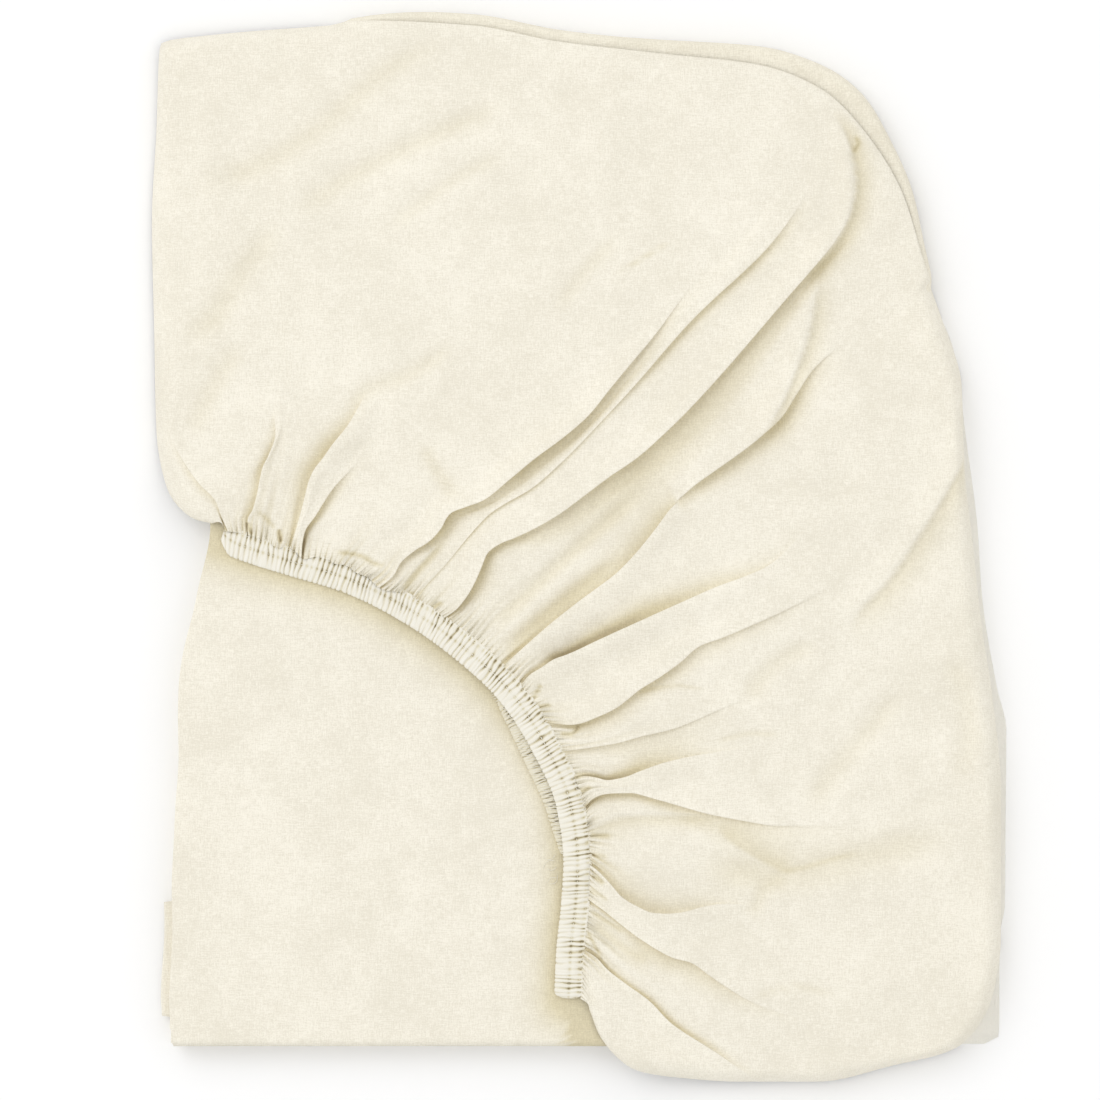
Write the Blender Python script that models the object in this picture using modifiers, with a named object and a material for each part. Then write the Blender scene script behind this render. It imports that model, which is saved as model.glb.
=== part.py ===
"""Crib fitted sheet, folded to a packet, with its gathered elastic corner on top.

The cloth is one solid. Flat layers run back and forth from the resting face up, the lowest
layer turns up on the right, and its far end comes back over the packet as the gathered pocket.
A second pocket lies between the two and shows as a crescent behind the top rim. The elastic
runs along the pocket's curved opening, and a short stretch of the second pocket's elastic
shows beside it on the flat panel.

Frame: +Z up, the packet rests on z = 0, +Y points to the folded back edge, and the origin is
on the resting face near the middle of the outline. Tables are in millimetres.
"""
import math
from collections import namedtuple

import bmesh
import bpy
import numpy as np

MM = 0.001

# Cloth and packet
CLOTH = 1.0                 # thickness of a layer as it lies, mm
PITCH = 1.5                 # height from one flat layer to the next
LAYERS = 10                 # flat layers in the packet
PIECE_GAP = 0.3             # between the cloth and an elastic that rests on it

# Elastic
ELASTIC_WIDTH = 12.5
ELASTIC_HEIGHT = 3.0
ELASTIC_RIBS = 132
UNDER_WIDTH = 8.0
UNDER_HEIGHT = 2.0
UNDER_RIBS = 44
RIB_RISE = 0.35             # how far a rib stands over the groove beside it

# Gathered pocket
POCKET_CREST = 18.6         # middle of the pocket's cloth where it lies smooth
POCKET_SWELL = 2.2          # extra height where all the nested folds lie
SWELL_CENTRE = (60.0, 0.0)
SWELL_RADIUS = 130.0
OPENING_RISE = 9.0          # distance over which the cloth climbs from the elastic
END_CLEAR = 1.8             # the cloth stands off a little at the elastic's ends
END_REACH = 6.0
PUCKER_RISE = 0.6           # small gathers beside the elastic
PUCKER_REACH = 14.0

# Second pocket, between the packet and the gathered one
SECOND_LIE = 15.4           # middle of its cloth
SECOND_ROLL = 3.6
SECOND_EDGE = 0.6
SECOND_INSET = 4.4          # inside the gathered pocket's rim where it doesn't show
SECOND_CLEAR = 1.7          # the gathered pocket's rim stays this far over it

Route = namedtuple("Route", "x y lift")
ELASTIC_ROUTE = (
    Route(-154, 5, 0.0), Route(-141, 0, 0.0), Route(-125, -5, 0.0), Route(-99, -13, 0.2),
    Route(-73, -26, 1.2), Route(-49, -43, 2.4), Route(-30, -61, 2.5), Route(-15, -84, 2.6),
    Route(-4, -110, 2.6), Route(-1, -134, 2.5), Route(-2, -153, 1.2), Route(-4, -172, 0.2),
    Route(-5, -193, 0.0),
)
Shown = namedtuple("Shown", "share out")
UNDER_ROUTE = (
    Shown(0.49, 2.6), Shown(0.54, 5.6), Shown(0.60, 7.2), Shown(0.66, 7.6),
    Shown(0.72, 6.4), Shown(0.78, 3.6),
)

# The pocket's rim from the elastic's left end, round the back, to its front end:
# edge is the height at which the cloth ends, roll how far in from the rim it turns down.
Rim = namedtuple("Rim", "x y edge roll")
RIM = (
    Rim(-158, 11, 16.2, 3), Rim(-166, 13, 15.8, 4), Rim(-178, 26, 7.0, 10), Rim(-183, 51, 2.0, 15),
    Rim(-184, 94, 2.0, 15), Rim(-185, 141, 2.0, 14), Rim(-183, 180, 2.0, 9), Rim(-181, 218, 3.0, 6),
    Rim(-159, 222, 3.0, 6), Rim(-123, 225, 3.0, 6), Rim(-90, 227, 3.0, 6), Rim(-47, 225, 3.0, 6),
    Rim(-9, 218, 3.0, 6), Rim(34, 213, 3.0, 6), Rim(77, 208, 3.0, 6), Rim(103, 198, 3.0, 6),
    Rim(121, 181, 3.0, 6), Rim(138, 154, 3.0, 6), Rim(148, 123, 2.0, 6), Rim(157, 98, 0.6, 6),
    Rim(165, 71, 0.6, 6), Rim(166, 40, 0.6, 6), Rim(170, 1, 0.6, 7), Rim(174, -35, 0.6, 7),
    Rim(178, -61, 0.6, 7), Rim(182, -104, 0.6, 7), Rim(182, -129, 0.6, 6), Rim(182, -168, 0.6, 6),
    Rim(178, -194, 1.8, 6), Rim(163, -215, 2.0, 7), Rim(135, -223, 2.0, 9), Rim(103, -230, 2.0, 10),
    Rim(69, -230, 3.0, 10), Rim(43, -228, 7.0, 10), Rim(24, -224, 14.2, 8), Rim(9, -210, 16.0, 4),
    Rim(4, -198, 16.2, 3),
)

# Folds that fan out from the elastic to the rim, clockwise. Each runs through two points
# between its ends. height is the crest over the smooth cloth, reach the share of the way at
# which it has died out, side +1 a lip that drops on its clockwise side and 0 an even ridge.
Fold = namedtuple("Fold", "name start near far end height reach side")
FOLDS = (
    Fold("left_end", (-151, 13), (-153.3, 12.5), (-155.7, 11.8), (-158, 11), 0.0, 0.5, 0),
    Fold("left_side", (-147, 10), (-154, 30), (-168, 47), (-183, 64), 1.2, 0.7, 0),
    Fold("lobe", (-140, 6), (-132, 47), (-148, 88), (-184, 129), 2.4, 0.5, 0),
    Fold("corner", (-132, 3), (-124, 64), (-142, 146), (-181, 218), 2.6, 0.5, 0),
    Fold("long_crease", (-124, 1), (-102, 52), (-69, 133), (-64, 226), 2.8, 0.6, 0),
    Fold("finger", (-111, -5), (-81, 48), (-32, 129), (4, 217), 2.4, 0.5, 0),
    Fold("curl", (-98, -9), (-56, 47), (4, 120), (62, 210), 1.8, 0.8, 0),
    Fold("upper_lip", (-82, -15), (-28, 33), (26, 85), (100, 200), 4.6, 0.78, 1),
    Fold("fine_crease", (-68, -24), (-9, 29), (48, 98), (117, 185), 1.0, 0.8, 0),
    Fold("lower_lip", (-55, -31), (9, 28), (71, 87), (133, 162), 4.8, 0.97, 1),
    Fold("hollow", (-44, -39), (19, 17), (82, 77), (144, 135), 0.4, 0.8, 0),
    Fold("big_fold", (-34, -47), (25, -1), (88, 59), (153, 107), 5.0, 0.85, 1),
    Fold("valley_lip", (-24, -58), (36, -25), (101, 19), (163, 78), 4.4, 0.7, 1),
    Fold("middle_lip", (-15, -74), (39, -51), (103, -19), (167, 34), 3.6, 0.75, 1),
    Fold("short_lip", (-7, -86), (47, -70), (114, -48), (172, -13), 2.2, 0.6, 1),
    Fold("knot", (-1, -101), (54, -89), (116, -78), (177, -56), 2.8, 0.5, 0),
    Fold("long_ridge", (3, -113), (60, -113), (120, -117), (181, -97), 3.0, 0.85, 0),
    Fold("puff", (5, -126), (69, -136), (129, -129), (182, -127), 3.4, 0.55, 0),
    Fold("under_puff", (4, -141), (52, -153), (116, -162), (182, -164), 2.2, 0.5, 0),
    Fold("front_lip", (3, -155), (47, -176), (103, -200), (163, -215), 2.8, 0.75, 1),
    Fold("front_crease", (1, -170), (26, -194), (54, -214), (80, -230), 2.2, 0.7, 1),
    Fold("front_edge", (3, -183), (10, -197), (18, -211), (26, -224), 0.8, 0.7, 0),
    Fold("low_end", (3.8, -193), (3.9, -194.7), (3.9, -196.3), (4, -198), 0.0, 0.5, 0),
)
LIP_RISE = 0.85             # how far a lip builds up before its crest, in fold spacings
LIP_DROP = 0.17             # and how far its drop reaches past the crest
LIP_LEAN = 0.09             # how far the crest leans over the drop
LIP_TROUGH = 0.3            # depth of the trough past the drop, as a share of the height
RIDGE_HALF = 0.5            # half the width of an even ridge
RIDGE_TROUGH = 0.3          # depth of the troughs beside it, as a share of the height
FOLD_START = 0.09           # share of the way at which a fold has its whole height
LINES_PER_FOLD = (0.0, LIP_DROP, 0.38, 0.66)
RINGS = (0.0, 0.02, 0.05, 0.09, 0.14, 0.2, 0.27, 0.35, 0.43, 0.51, 0.6, 0.7, 0.8, 0.9, 1.0)
ROLL_RINGS = (0.34, 0.68, 0.92, 1.0)

# Soft troughs across the smooth cloth behind the opening, from one end to the other
Trough = namedtuple("Trough", "name x0 y0 x1 y1 width depth")
TROUGHS = (
    Trough("back_long", -170, 154, -52, 220, 9, 1.3),
    Trough("back_middle", -127, 142, -28, 193, 9, 1.2),
    Trough("back_short", -84, 136, -28, 172, 8, 0.9),
    Trough("left_slant", -172, 89, -127, 142, 10, 1.2),
    Trough("middle_slant", -11, 101, 18, 136, 8, 0.8),
)

# How far the second pocket stands out from behind the rim, by distance along the rim
Show = namedtuple("Show", "along out")
SECOND_SHOWS = (
    Show(0, -SECOND_INSET), Show(285, -SECOND_INSET), Show(300, 1.6), Show(342, 5.5),
    Show(410, 5.8), Show(455, 7.5), Show(490, 9.2), Show(519, 10.4), Show(545, 7.0),
    Show(581, 3.4), Show(600, 1.8), Show(612, -2.4), Show(640, -SECOND_INSET),
    Show(1200, -SECOND_INSET),
)
SECOND_RINGS = (0.12, 0.35, 0.6, 0.85, 1.0)
SECOND_FROM = 2             # first and last fold between which the second pocket runs
SECOND_TO = 20

# The packet's outline, front to back
Station = namedtuple("Station", "y left right low_right")
STATIONS = (
    Station(-214, -175, 138, 175), Station(-211, -175, 149, 181), Station(-202, -175, 158, 181.5),
    Station(-193, -175.5, 165, 181.5), Station(-162, -174.5, 173, 182), Station(-160.5, -174.5, 174, 184.5), Station(-152, -174, 174, 184.5),
    Station(-120, -173, 174, 184.5), Station(-66, -171.5, 171, 184.5), Station(-62, -171, 170, 180),
    Station(-20, -165, 163, 174), Station(10, -161, 161, 172), Station(45, -167, 158, 167.5),
    Station(85, -169, 152, 162), Station(120, -169, 140, 146), Station(155, -171, 128, 133),
    Station(180, -172, 110, 114), Station(196, -172, 90, 93), Station(204, -172, 56, 58),
)
# How far each fold of the packet stays back, from the lowest up
LEFT_FOLDS = (0.6, 1.8, 0.4, 1.4, 0.0)
RIGHT_FOLDS = (0.6, 2.0, 1.0, 2.4, 1.6)
FRONT_EDGES = (0.0, 1.2, 0.5, 2.0, 1.0, 0.2, 1.5, 0.7, 1.6, 0.3)
TAB_FOLD = 1                # counted from the lowest left fold
TAB_OUT = 6.0
TAB_FROM, TAB_TO = -202, -152
BEND_STEPS = 3

CLOTH_COLOUR = (0.87, 0.82, 0.70, 1.0)
ELASTIC_COLOUR = (0.90, 0.87, 0.78, 1.0)


def smooth_values(places, values, wanted):
    """Values at the wanted places on a curve through the given ones that never overshoots."""
    places = np.asarray(places, float)
    values = np.asarray(values, float)
    wanted = np.clip(wanted, places[0], places[-1])
    steps = np.diff(places)
    slopes = np.diff(values) / steps
    before, after = slopes[:-1], slopes[1:]
    total = before + after
    inner = np.where(before * after > 0, 2 * before * after / np.where(total == 0, 1, total), 0.0)
    ends = np.concatenate(([slopes[0]], inner, [slopes[-1]]))
    index = np.clip(np.searchsorted(places, wanted, side="right") - 1, 0, len(steps) - 1)
    step = steps[index]
    share = (wanted - places[index]) / step
    start = values[index] * (1 + 2 * share) * (1 - share) ** 2
    start = start + step * ends[index] * share * (1 - share) ** 2
    finish = values[index + 1] * share ** 2 * (3 - 2 * share)
    return start + finish + step * ends[index + 1] * share ** 2 * (share - 1)


def smooth_step(low, high, value):
    """0 below low, 1 above high and a soft rise between."""
    share = np.clip((value - low) / (high - low), 0.0, 1.0)
    return share * share * (3 - 2 * share)


class Path:
    """A smooth path through a table's rows, measured by the distance along it."""

    def __init__(self, rows):
        self.rows = rows
        points = np.array([(row.x, row.y) for row in rows], float)
        self.marks = np.concatenate(([0.0], np.cumsum(np.hypot(*np.diff(points, axis=0).T))))
        self.length = self.marks[-1]
        self.points = points

    def at(self, along):
        x = smooth_values(self.marks, self.points[:, 0], along)
        y = smooth_values(self.marks, self.points[:, 1], along)
        return np.stack([x, y], axis=-1)

    def column(self, name, along):
        return smooth_values(self.marks, [getattr(row, name) for row in self.rows], along)

    def outward(self, along):
        """The unit direction to the left of the way the path runs."""
        run = self.at(along + 0.5) - self.at(along - 0.5)
        run /= np.linalg.norm(run, axis=-1, keepdims=True)
        return np.stack([-run[..., 1], run[..., 0]], axis=-1)

    def nearest(self, point):
        along = np.linspace(0.0, self.length, 2000)
        return along[np.argmin(np.linalg.norm(self.at(along) - np.asarray(point, float), axis=1))]


ELASTIC = Path(ELASTIC_ROUTE)
RIM_PATH = Path(RIM)
PANEL_TOP = (LAYERS - 1) * PITCH + CLOTH
ELASTIC_BASE = PANEL_TOP + PIECE_GAP


def fan_guides():
    """Four points on each fold, its ends moved onto the elastic's outer edge and the rim."""
    starts = np.array([ELASTIC.nearest(fold.start) for fold in FOLDS])
    ends = np.array([RIM_PATH.nearest(fold.end) for fold in FOLDS])
    starts[0], starts[-1] = 0.0, ELASTIC.length
    ends[0], ends[-1] = 0.0, RIM_PATH.length
    knots = np.array([(fold.start, fold.near, fold.far, fold.end) for fold in FOLDS], float)
    return starts, ends, knots


STARTS, ENDS, KNOTS = fan_guides()
COUNT = np.arange(len(FOLDS), dtype=float)


def opening_edge(along):
    """The pocket's edge beside the elastic."""
    beside = ELASTIC_WIDTH / 2 + PIECE_GAP + RIB_RISE
    from_end = np.minimum(along, ELASTIC.length - along)
    beside = beside + END_CLEAR * np.exp(-from_end / END_REACH)
    return ELASTIC.at(along) + ELASTIC.outward(along) * beside[..., None]


def fan(place, way):
    """A point between the opening and the rim.

    place counts the folds clockwise and way runs from 0 at the elastic to 1 at the rim. The
    line through each fold is the cubic through its four points, the lines between are blends
    of their neighbours, and both ends are drawn onto the opening's edge and the rim.
    """
    knots = [np.stack([smooth_values(COUNT, KNOTS[:, j, i], place) for i in (0, 1)], axis=-1)
             for j in range(4)]
    way = way[..., None]
    weights = (
        (1 - way) * (1 - 3 * way) * (2 - 3 * way) / 2,
        9 * way * (1 - way) * (2 - 3 * way) / 2,
        9 * way * (1 - way) * (3 * way - 1) / 2,
        way * (3 * way - 1) * (3 * way - 2) / 2,
    )
    point = sum(weight * knot for weight, knot in zip(weights, knots))
    start = opening_edge(smooth_values(COUNT, STARTS, place))
    end = RIM_PATH.at(smooth_values(COUNT, ENDS, place))
    return point + (1 - way) ** 3 * (start - knots[0]) + way ** 3 * (end - knots[3])


def line_lengths(place):
    """How long the way from the opening to the rim is at each place."""
    way = np.linspace(0.0, 1.0, 24)
    line = fan(place[:, None] + 0 * way, way + 0 * place[:, None])
    return np.linalg.norm(np.diff(line, axis=1), axis=2).sum(axis=1)


def fold_shape(place, way):
    """Height of the folds over the smooth cloth, and how far their crests lean, in places."""
    height = np.zeros_like(way)
    lean = np.zeros_like(way)
    for number, fold in enumerate(FOLDS):
        off = place - number
        swell = smooth_step(0.0, FOLD_START, way) * (1 - smooth_step(0.55 * fold.reach, fold.reach, way))
        if fold.side:
            crest = smooth_step(-LIP_RISE, 0.0, off) * (1 - smooth_step(0.0, LIP_DROP, off))
            trough = smooth_step(0.0, LIP_DROP, off) * (1 - smooth_step(LIP_DROP, 0.8, off))
            height += fold.height * swell * (crest - LIP_TROUGH * trough)
            lean += LIP_LEAN * swell * smooth_step(-0.3, 0.0, off) * (1 - smooth_step(0.0, LIP_DROP, off))
        else:
            crest = 1 - smooth_step(0.0, RIDGE_HALF, np.abs(off))
            beside = 1 - smooth_step(RIDGE_HALF, 2 * RIDGE_HALF, np.abs(off))
            height += fold.height * swell * (crest - RIDGE_TROUGH * beside)
    return height, lean


def trough_shape(point):
    """Depth of the soft troughs: a smooth hollow across each, fading at both its ends."""
    depth = np.zeros(point.shape[:-1])
    for trough in TROUGHS:
        start = np.array((trough.x0, trough.y0), float)
        run = np.array((trough.x1, trough.y1), float) - start
        length = np.hypot(*run)
        along = ((point - start) @ run) / length
        across = (point[..., 0] - start[0]) * run[1] - (point[..., 1] - start[1]) * run[0]
        across = across / length
        ends = smooth_step(-trough.width, trough.width, along)
        ends = ends * (1 - smooth_step(length - trough.width, length + trough.width, along))
        depth += trough.depth * ends * np.exp(-(across / trough.width) ** 2)
    return depth


def smooth_lie(point):
    """Height of the pocket's cloth without its folds: level, with a low swell to the right."""
    off = np.linalg.norm(point - np.array(SWELL_CENTRE), axis=-1)
    return POCKET_CREST + POCKET_SWELL * np.exp(-(off / SWELL_RADIUS) ** 2)


def rolled(inside, roll, edge, top):
    """A quarter of an ellipse from the edge's height up to the top, roll wide."""
    share = np.clip(inside / roll, 0.0, 1.0)
    return edge + (top - edge) * np.sqrt(1 - (1 - share) ** 2)


def second_out(along):
    return smooth_values([row.along for row in SECOND_SHOWS], [row.out for row in SECOND_SHOWS], along)


def fan_rings(place, rings, rolls, roll):
    """The ways of the rings: shares of the level stretch, then of the turned-down rim."""
    turned = np.clip(roll / line_lengths(place), 0.05, 0.9)[:, None]
    level = np.array(rings)[None, :] * (1 - turned)
    down = 1 - turned * (1 - np.array(rolls)[None, :])
    return np.concatenate([level, down], axis=1)


def pocket_grid():
    """Points of the gathered pocket, a row for each line of the fan."""
    lines = [number + part for number in range(len(FOLDS) - 1) for part in LINES_PER_FOLD]
    place = np.array(lines + [len(FOLDS) - 1.0])
    rim = smooth_values(COUNT, ENDS, place)
    roll = RIM_PATH.column("roll", rim)
    way = fan_rings(place, RINGS, ROLL_RINGS, roll)
    inside = (1 - way) * line_lengths(place)[:, None]
    places = place[:, None] + 0 * way
    height, lean = fold_shape(places, way)
    flat = fan(places, way)
    point = fan(places + lean, way)
    from_opening = way * line_lengths(place)[:, None]
    elastic_lie = ELASTIC_BASE + ELASTIC_HEIGHT / 2
    elastic_lie = elastic_lie + ELASTIC.column("lift", smooth_values(COUNT, STARTS, place))[:, None]
    climb = 1 - np.exp(-from_opening / OPENING_RISE)
    puckers = PUCKER_RISE * np.where(np.arange(len(place)) % 2, 1, -1)[:, None]
    puckers = puckers * np.exp(-from_opening / PUCKER_REACH)
    puckers = puckers * smooth_step(20.0, 50.0, line_lengths(place))[:, None]
    top = elastic_lie + (smooth_lie(flat) - elastic_lie) * climb
    top = top + height - trough_shape(flat) + puckers
    over = rolled(second_out(rim), SECOND_ROLL, SECOND_EDGE, SECOND_LIE) + SECOND_CLEAR
    edge = np.where(second_out(rim) > 0, over, RIM_PATH.column("edge", rim))
    z = rolled(inside, roll[:, None], edge[:, None], top)
    return np.concatenate([point, z[..., None]], axis=-1)


def second_grid():
    """Points of the second pocket, a coarse fan under the first, pushed out where it shows."""
    place = np.linspace(SECOND_FROM, SECOND_TO, 2 * (SECOND_TO - SECOND_FROM) + 1)
    rim = smooth_values(COUNT, ENDS, place)
    roll = np.full_like(place, SECOND_ROLL)
    way = fan_rings(place, SECOND_RINGS, ROLL_RINGS, roll)
    inside = (1 - way) * line_lengths(place)[:, None]
    point = fan(place[:, None] + 0 * way, way)
    push = second_out(rim)[:, None] * (1 - smooth_step(SECOND_ROLL, 30.0, inside))
    point = point + RIM_PATH.outward(rim)[:, None, :] * push[..., None]
    z = rolled(inside, SECOND_ROLL, SECOND_EDGE, SECOND_LIE)
    return np.concatenate([point, z[..., None]], axis=-1)


def packet_grid():
    """Points of the flat layers: one strip that runs back and forth, lofted front to back."""
    rows = []
    last = len(STATIONS) - 1
    for number, station in enumerate(STATIONS):
        strip = []
        for layer in range(LAYERS):
            y = station.y + (FRONT_EDGES[layer] if number == 0 else 0.0)
            y = y - (FRONT_EDGES[LAYERS - 1 - layer] if number == last else 0.0)
            z = CLOTH / 2 + layer * PITCH
            left = station.left + LEFT_FOLDS[layer // 2]
            if layer // 2 == TAB_FOLD and TAB_FROM <= station.y <= TAB_TO:
                left -= TAB_OUT
            right = station.right - RIGHT_FOLDS[(layer + 1) // 2 - 1]
            if layer == 0:
                right = station.low_right
            heads_left = layer % 2 == 0
            ends = (right, left) if heads_left else (left, right)
            strip.append((ends[0], y, z))
            strip.append((ends[1], y, z))
            if layer < LAYERS - 1:
                way = -1 if heads_left else 1
                for step in range(1, BEND_STEPS):
                    turn = math.pi * step / BEND_STEPS
                    out = math.sin(turn) * PITCH / 2
                    rise = (1 - math.cos(turn)) * PITCH / 2
                    strip.append((ends[1] + way * out, y, z + rise))
        rows.append(strip)
    return np.array(rows, float)


def grid_object(name, grid, collection):
    """An open surface through a grid of points, in metres."""
    rows, columns = grid.shape[:2]
    number = np.arange(rows * columns).reshape(rows, columns)
    faces = np.stack([number[:-1, :-1], number[1:, :-1], number[1:, 1:], number[:-1, 1:]], axis=-1)
    mesh = bpy.data.meshes.new(name)
    mesh.from_pydata((grid.reshape(-1, 3) * MM).tolist(), [], faces.reshape(-1, 4).tolist())
    mesh.update()
    thing = bpy.data.objects.new(name, mesh)
    collection.objects.link(thing)
    return thing


def thicken(thing):
    """Give an open surface the cloth's thickness, half to each side."""
    solid = thing.modifiers.new("Cloth", "SOLIDIFY")
    solid.thickness = CLOTH * MM
    solid.offset = 0.0
    solid.use_even_offset = True
    solid.use_rim = True
    return thing


def join(thing, other):
    """Make another shell part of this one."""
    union = thing.modifiers.new("Join", "BOOLEAN")
    union.operation = "UNION"
    union.solver = "EXACT"
    union.object = other
    other.hide_render = True
    other.display_type = "WIRE"


def band_section(width, height, rib):
    """Outline of the elastic across its run, seen along it: flat below and crowned above."""
    half = width / 2 + 0.4 * rib
    top = height + rib
    return np.array((
        (-half + 0.6, 0.0), (-half, 0.45 * height), (-half + 0.9, 0.92 * top),
        (0.0, top), (half - 0.9, 0.92 * top), (half, 0.45 * height), (half - 0.6, 0.0),
    ))


def band_object(name, centre, outward, base, sizes, collection):
    """An elastic: its section carried along a path, a rib and a groove in turn."""
    width, height = sizes
    mesh = bmesh.new()
    rings = []
    for number, (middle, side, low) in enumerate(zip(centre, outward, base)):
        rib = 0.0 if number % 2 else RIB_RISE
        section = band_section(width, height - RIB_RISE, rib)
        ring = []
        for across, up in section:
            x, y = middle + side * across
            ring.append(mesh.verts.new((x * MM, y * MM, (low + up) * MM)))
        rings.append(ring)
    for ring, following in zip(rings, rings[1:]):
        for i in range(len(ring)):
            j = (i + 1) % len(ring)
            mesh.faces.new((ring[i], ring[j], following[j], following[i]))
    mesh.faces.new(list(reversed(rings[0])))
    mesh.faces.new(rings[-1])
    bmesh.ops.recalc_face_normals(mesh, faces=mesh.faces)
    data = bpy.data.meshes.new(name)
    mesh.to_mesh(data)
    mesh.free()
    thing = bpy.data.objects.new(name, data)
    collection.objects.link(thing)
    return thing


def make_elastic(collection):
    along = np.linspace(0.0, ELASTIC.length, 2 * ELASTIC_RIBS + 1)
    base = ELASTIC_BASE + ELASTIC.column("lift", along)
    sizes = (ELASTIC_WIDTH, ELASTIC_HEIGHT)
    return band_object("elastic_band", ELASTIC.at(along), ELASTIC.outward(along), base, sizes, collection)


def make_under_elastic(collection):
    """The second pocket's elastic, on the panel and partly under the first one."""
    shares = [row.share for row in UNDER_ROUTE]
    share = np.linspace(shares[0], shares[-1], 2 * UNDER_RIBS + 1)
    along = share * ELASTIC.length
    out = smooth_values(shares, [row.out for row in UNDER_ROUTE], share)
    outward = ELASTIC.outward(along)
    centre = ELASTIC.at(along) - outward * out[:, None]
    base = np.full_like(along, ELASTIC_BASE)
    sizes = (UNDER_WIDTH, UNDER_HEIGHT)
    return band_object("elastic_band_under", centre, outward, base, sizes, collection)


def make_sheet(collection, helpers):
    """The cloth: the packet with both pockets joined to it along the right fold."""
    sheet = thicken(grid_object("sheet", packet_grid(), collection))
    join(sheet, thicken(grid_object("second_pocket", second_grid(), helpers)))
    join(sheet, thicken(grid_object("gathered_pocket", pocket_grid(), helpers)))
    return sheet


def material(name, colour, roughness):
    finish = bpy.data.materials.new(name)
    finish.use_nodes = True
    shader = finish.node_tree.nodes["Principled BSDF"]
    shader.inputs["Base Color"].default_value = colour
    shader.inputs["Roughness"].default_value = roughness
    shader.inputs["Metallic"].default_value = 0.0
    return finish


def main():
    for thing in list(bpy.data.objects):
        bpy.data.objects.remove(thing, do_unlink=True)
    collection = bpy.data.collections.new("crib_fitted_sheet")
    helpers = bpy.data.collections.new("joined_shells")
    bpy.context.scene.collection.children.link(collection)
    bpy.context.scene.collection.children.link(helpers)
    sheet = make_sheet(collection, helpers)
    sheet.data.materials.append(material("cloth", CLOTH_COLOUR, 0.9))
    for band in (make_elastic(collection), make_under_elastic(collection)):
        band.data.materials.append(material(band.name, ELASTIC_COLOUR, 0.85))


main()
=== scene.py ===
"""Looks of the folded crib fitted sheet: cloth, gathers, elastic, sewing, floor and light.

Tables are in millimetres in the part's own frame: +X to the right of the picture, +Y up in
it, +Z towards the camera, and z = 0 is the surface that the packet rests on.
"""
import math
from collections import namedtuple

import bmesh
import bpy
import numpy as np
from bpy.props import FloatProperty, FloatVectorProperty, PointerProperty
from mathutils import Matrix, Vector


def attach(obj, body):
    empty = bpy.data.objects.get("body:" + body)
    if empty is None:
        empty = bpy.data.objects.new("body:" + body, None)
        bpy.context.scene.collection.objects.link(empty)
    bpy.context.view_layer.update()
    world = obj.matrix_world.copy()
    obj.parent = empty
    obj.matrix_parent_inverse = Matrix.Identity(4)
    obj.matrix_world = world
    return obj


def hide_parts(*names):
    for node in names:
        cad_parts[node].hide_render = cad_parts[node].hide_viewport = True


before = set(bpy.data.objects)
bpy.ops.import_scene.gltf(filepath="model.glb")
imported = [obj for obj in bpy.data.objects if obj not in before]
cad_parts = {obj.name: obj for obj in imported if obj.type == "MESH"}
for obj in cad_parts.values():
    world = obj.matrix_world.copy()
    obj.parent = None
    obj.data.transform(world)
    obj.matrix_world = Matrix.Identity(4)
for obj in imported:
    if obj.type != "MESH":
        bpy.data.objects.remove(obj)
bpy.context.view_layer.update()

bl_info = {
    "name": "Folded crib fitted sheet",
    "version": (1, 0, 0),
    "blender": (4, 5, 0),
    "location": "3D View > Sidebar > Crib sheet",
    "description": "Builds the cloth, elastic and sewing of a folded fitted sheet",
    "category": "Add Mesh",
}

MM = 0.001

# The packet, as its solid has it
CLOTH = 1.0
PITCH = 1.5
LAYERS = 10
PIECE_GAP = 0.3
ELASTIC_WIDTH = 12.5
ELASTIC_HEIGHT = 3.0
UNDER_WIDTH = 8.0
UNDER_HEIGHT = 2.0
PANEL_TOP = (LAYERS - 1) * PITCH + CLOTH
ELASTIC_BASE = PANEL_TOP + PIECE_GAP

# The gathered pocket's lie
POCKET_CREST = 18.6
POCKET_SWELL = 2.2
SWELL_CENTRE = (60.0, 0.0)
SWELL_RADIUS = 130.0
OPENING_RISE = 7.0
EDGE_COVER = 1.0
EDGE_HEIGHT = 2.2           # of the pocket's edge over the elastic's underside
Flap = namedtuple("Flap", "along cover width raise_by")
FLAPS = (
    Flap(0.0, 2.0, 6.0, 1.2), Flap(24.0, 1.4, 3.0, 1.0), Flap(36.5, 2.8, 3.6, 1.6),
    Flap(50.0, 0.9, 3.0, 0.7), Flap(60.0, 1.4, 4.0, 1.0), Flap(72.0, 3.4, 7.0, 2.0),
)
SECOND_LIE = 15.4
SECOND_ROLL = 3.6
SECOND_EDGE = 0.6
SECOND_INSET = 4.4
SECOND_CLEAR = 1.7

Route = namedtuple("Route", "x y lift")
ELASTIC_ROUTE = (
    Route(-154, 5, 0.0), Route(-141, 0, 0.0), Route(-125, -5, 0.0), Route(-99, -13, 0.2),
    Route(-73, -26, 1.2), Route(-49, -43, 2.4), Route(-30, -61, 2.5), Route(-15, -84, 2.6),
    Route(-4, -110, 2.6), Route(-1, -134, 2.5), Route(-2, -153, 1.2), Route(-4, -172, 0.2),
    Route(-5, -193, 0.0),
)
Shown = namedtuple("Shown", "share out")
UNDER_ROUTE = (
    Shown(0.49, 2.6), Shown(0.54, 5.6), Shown(0.60, 7.2), Shown(0.66, 7.6),
    Shown(0.72, 6.4), Shown(0.78, 3.6),
)

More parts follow.
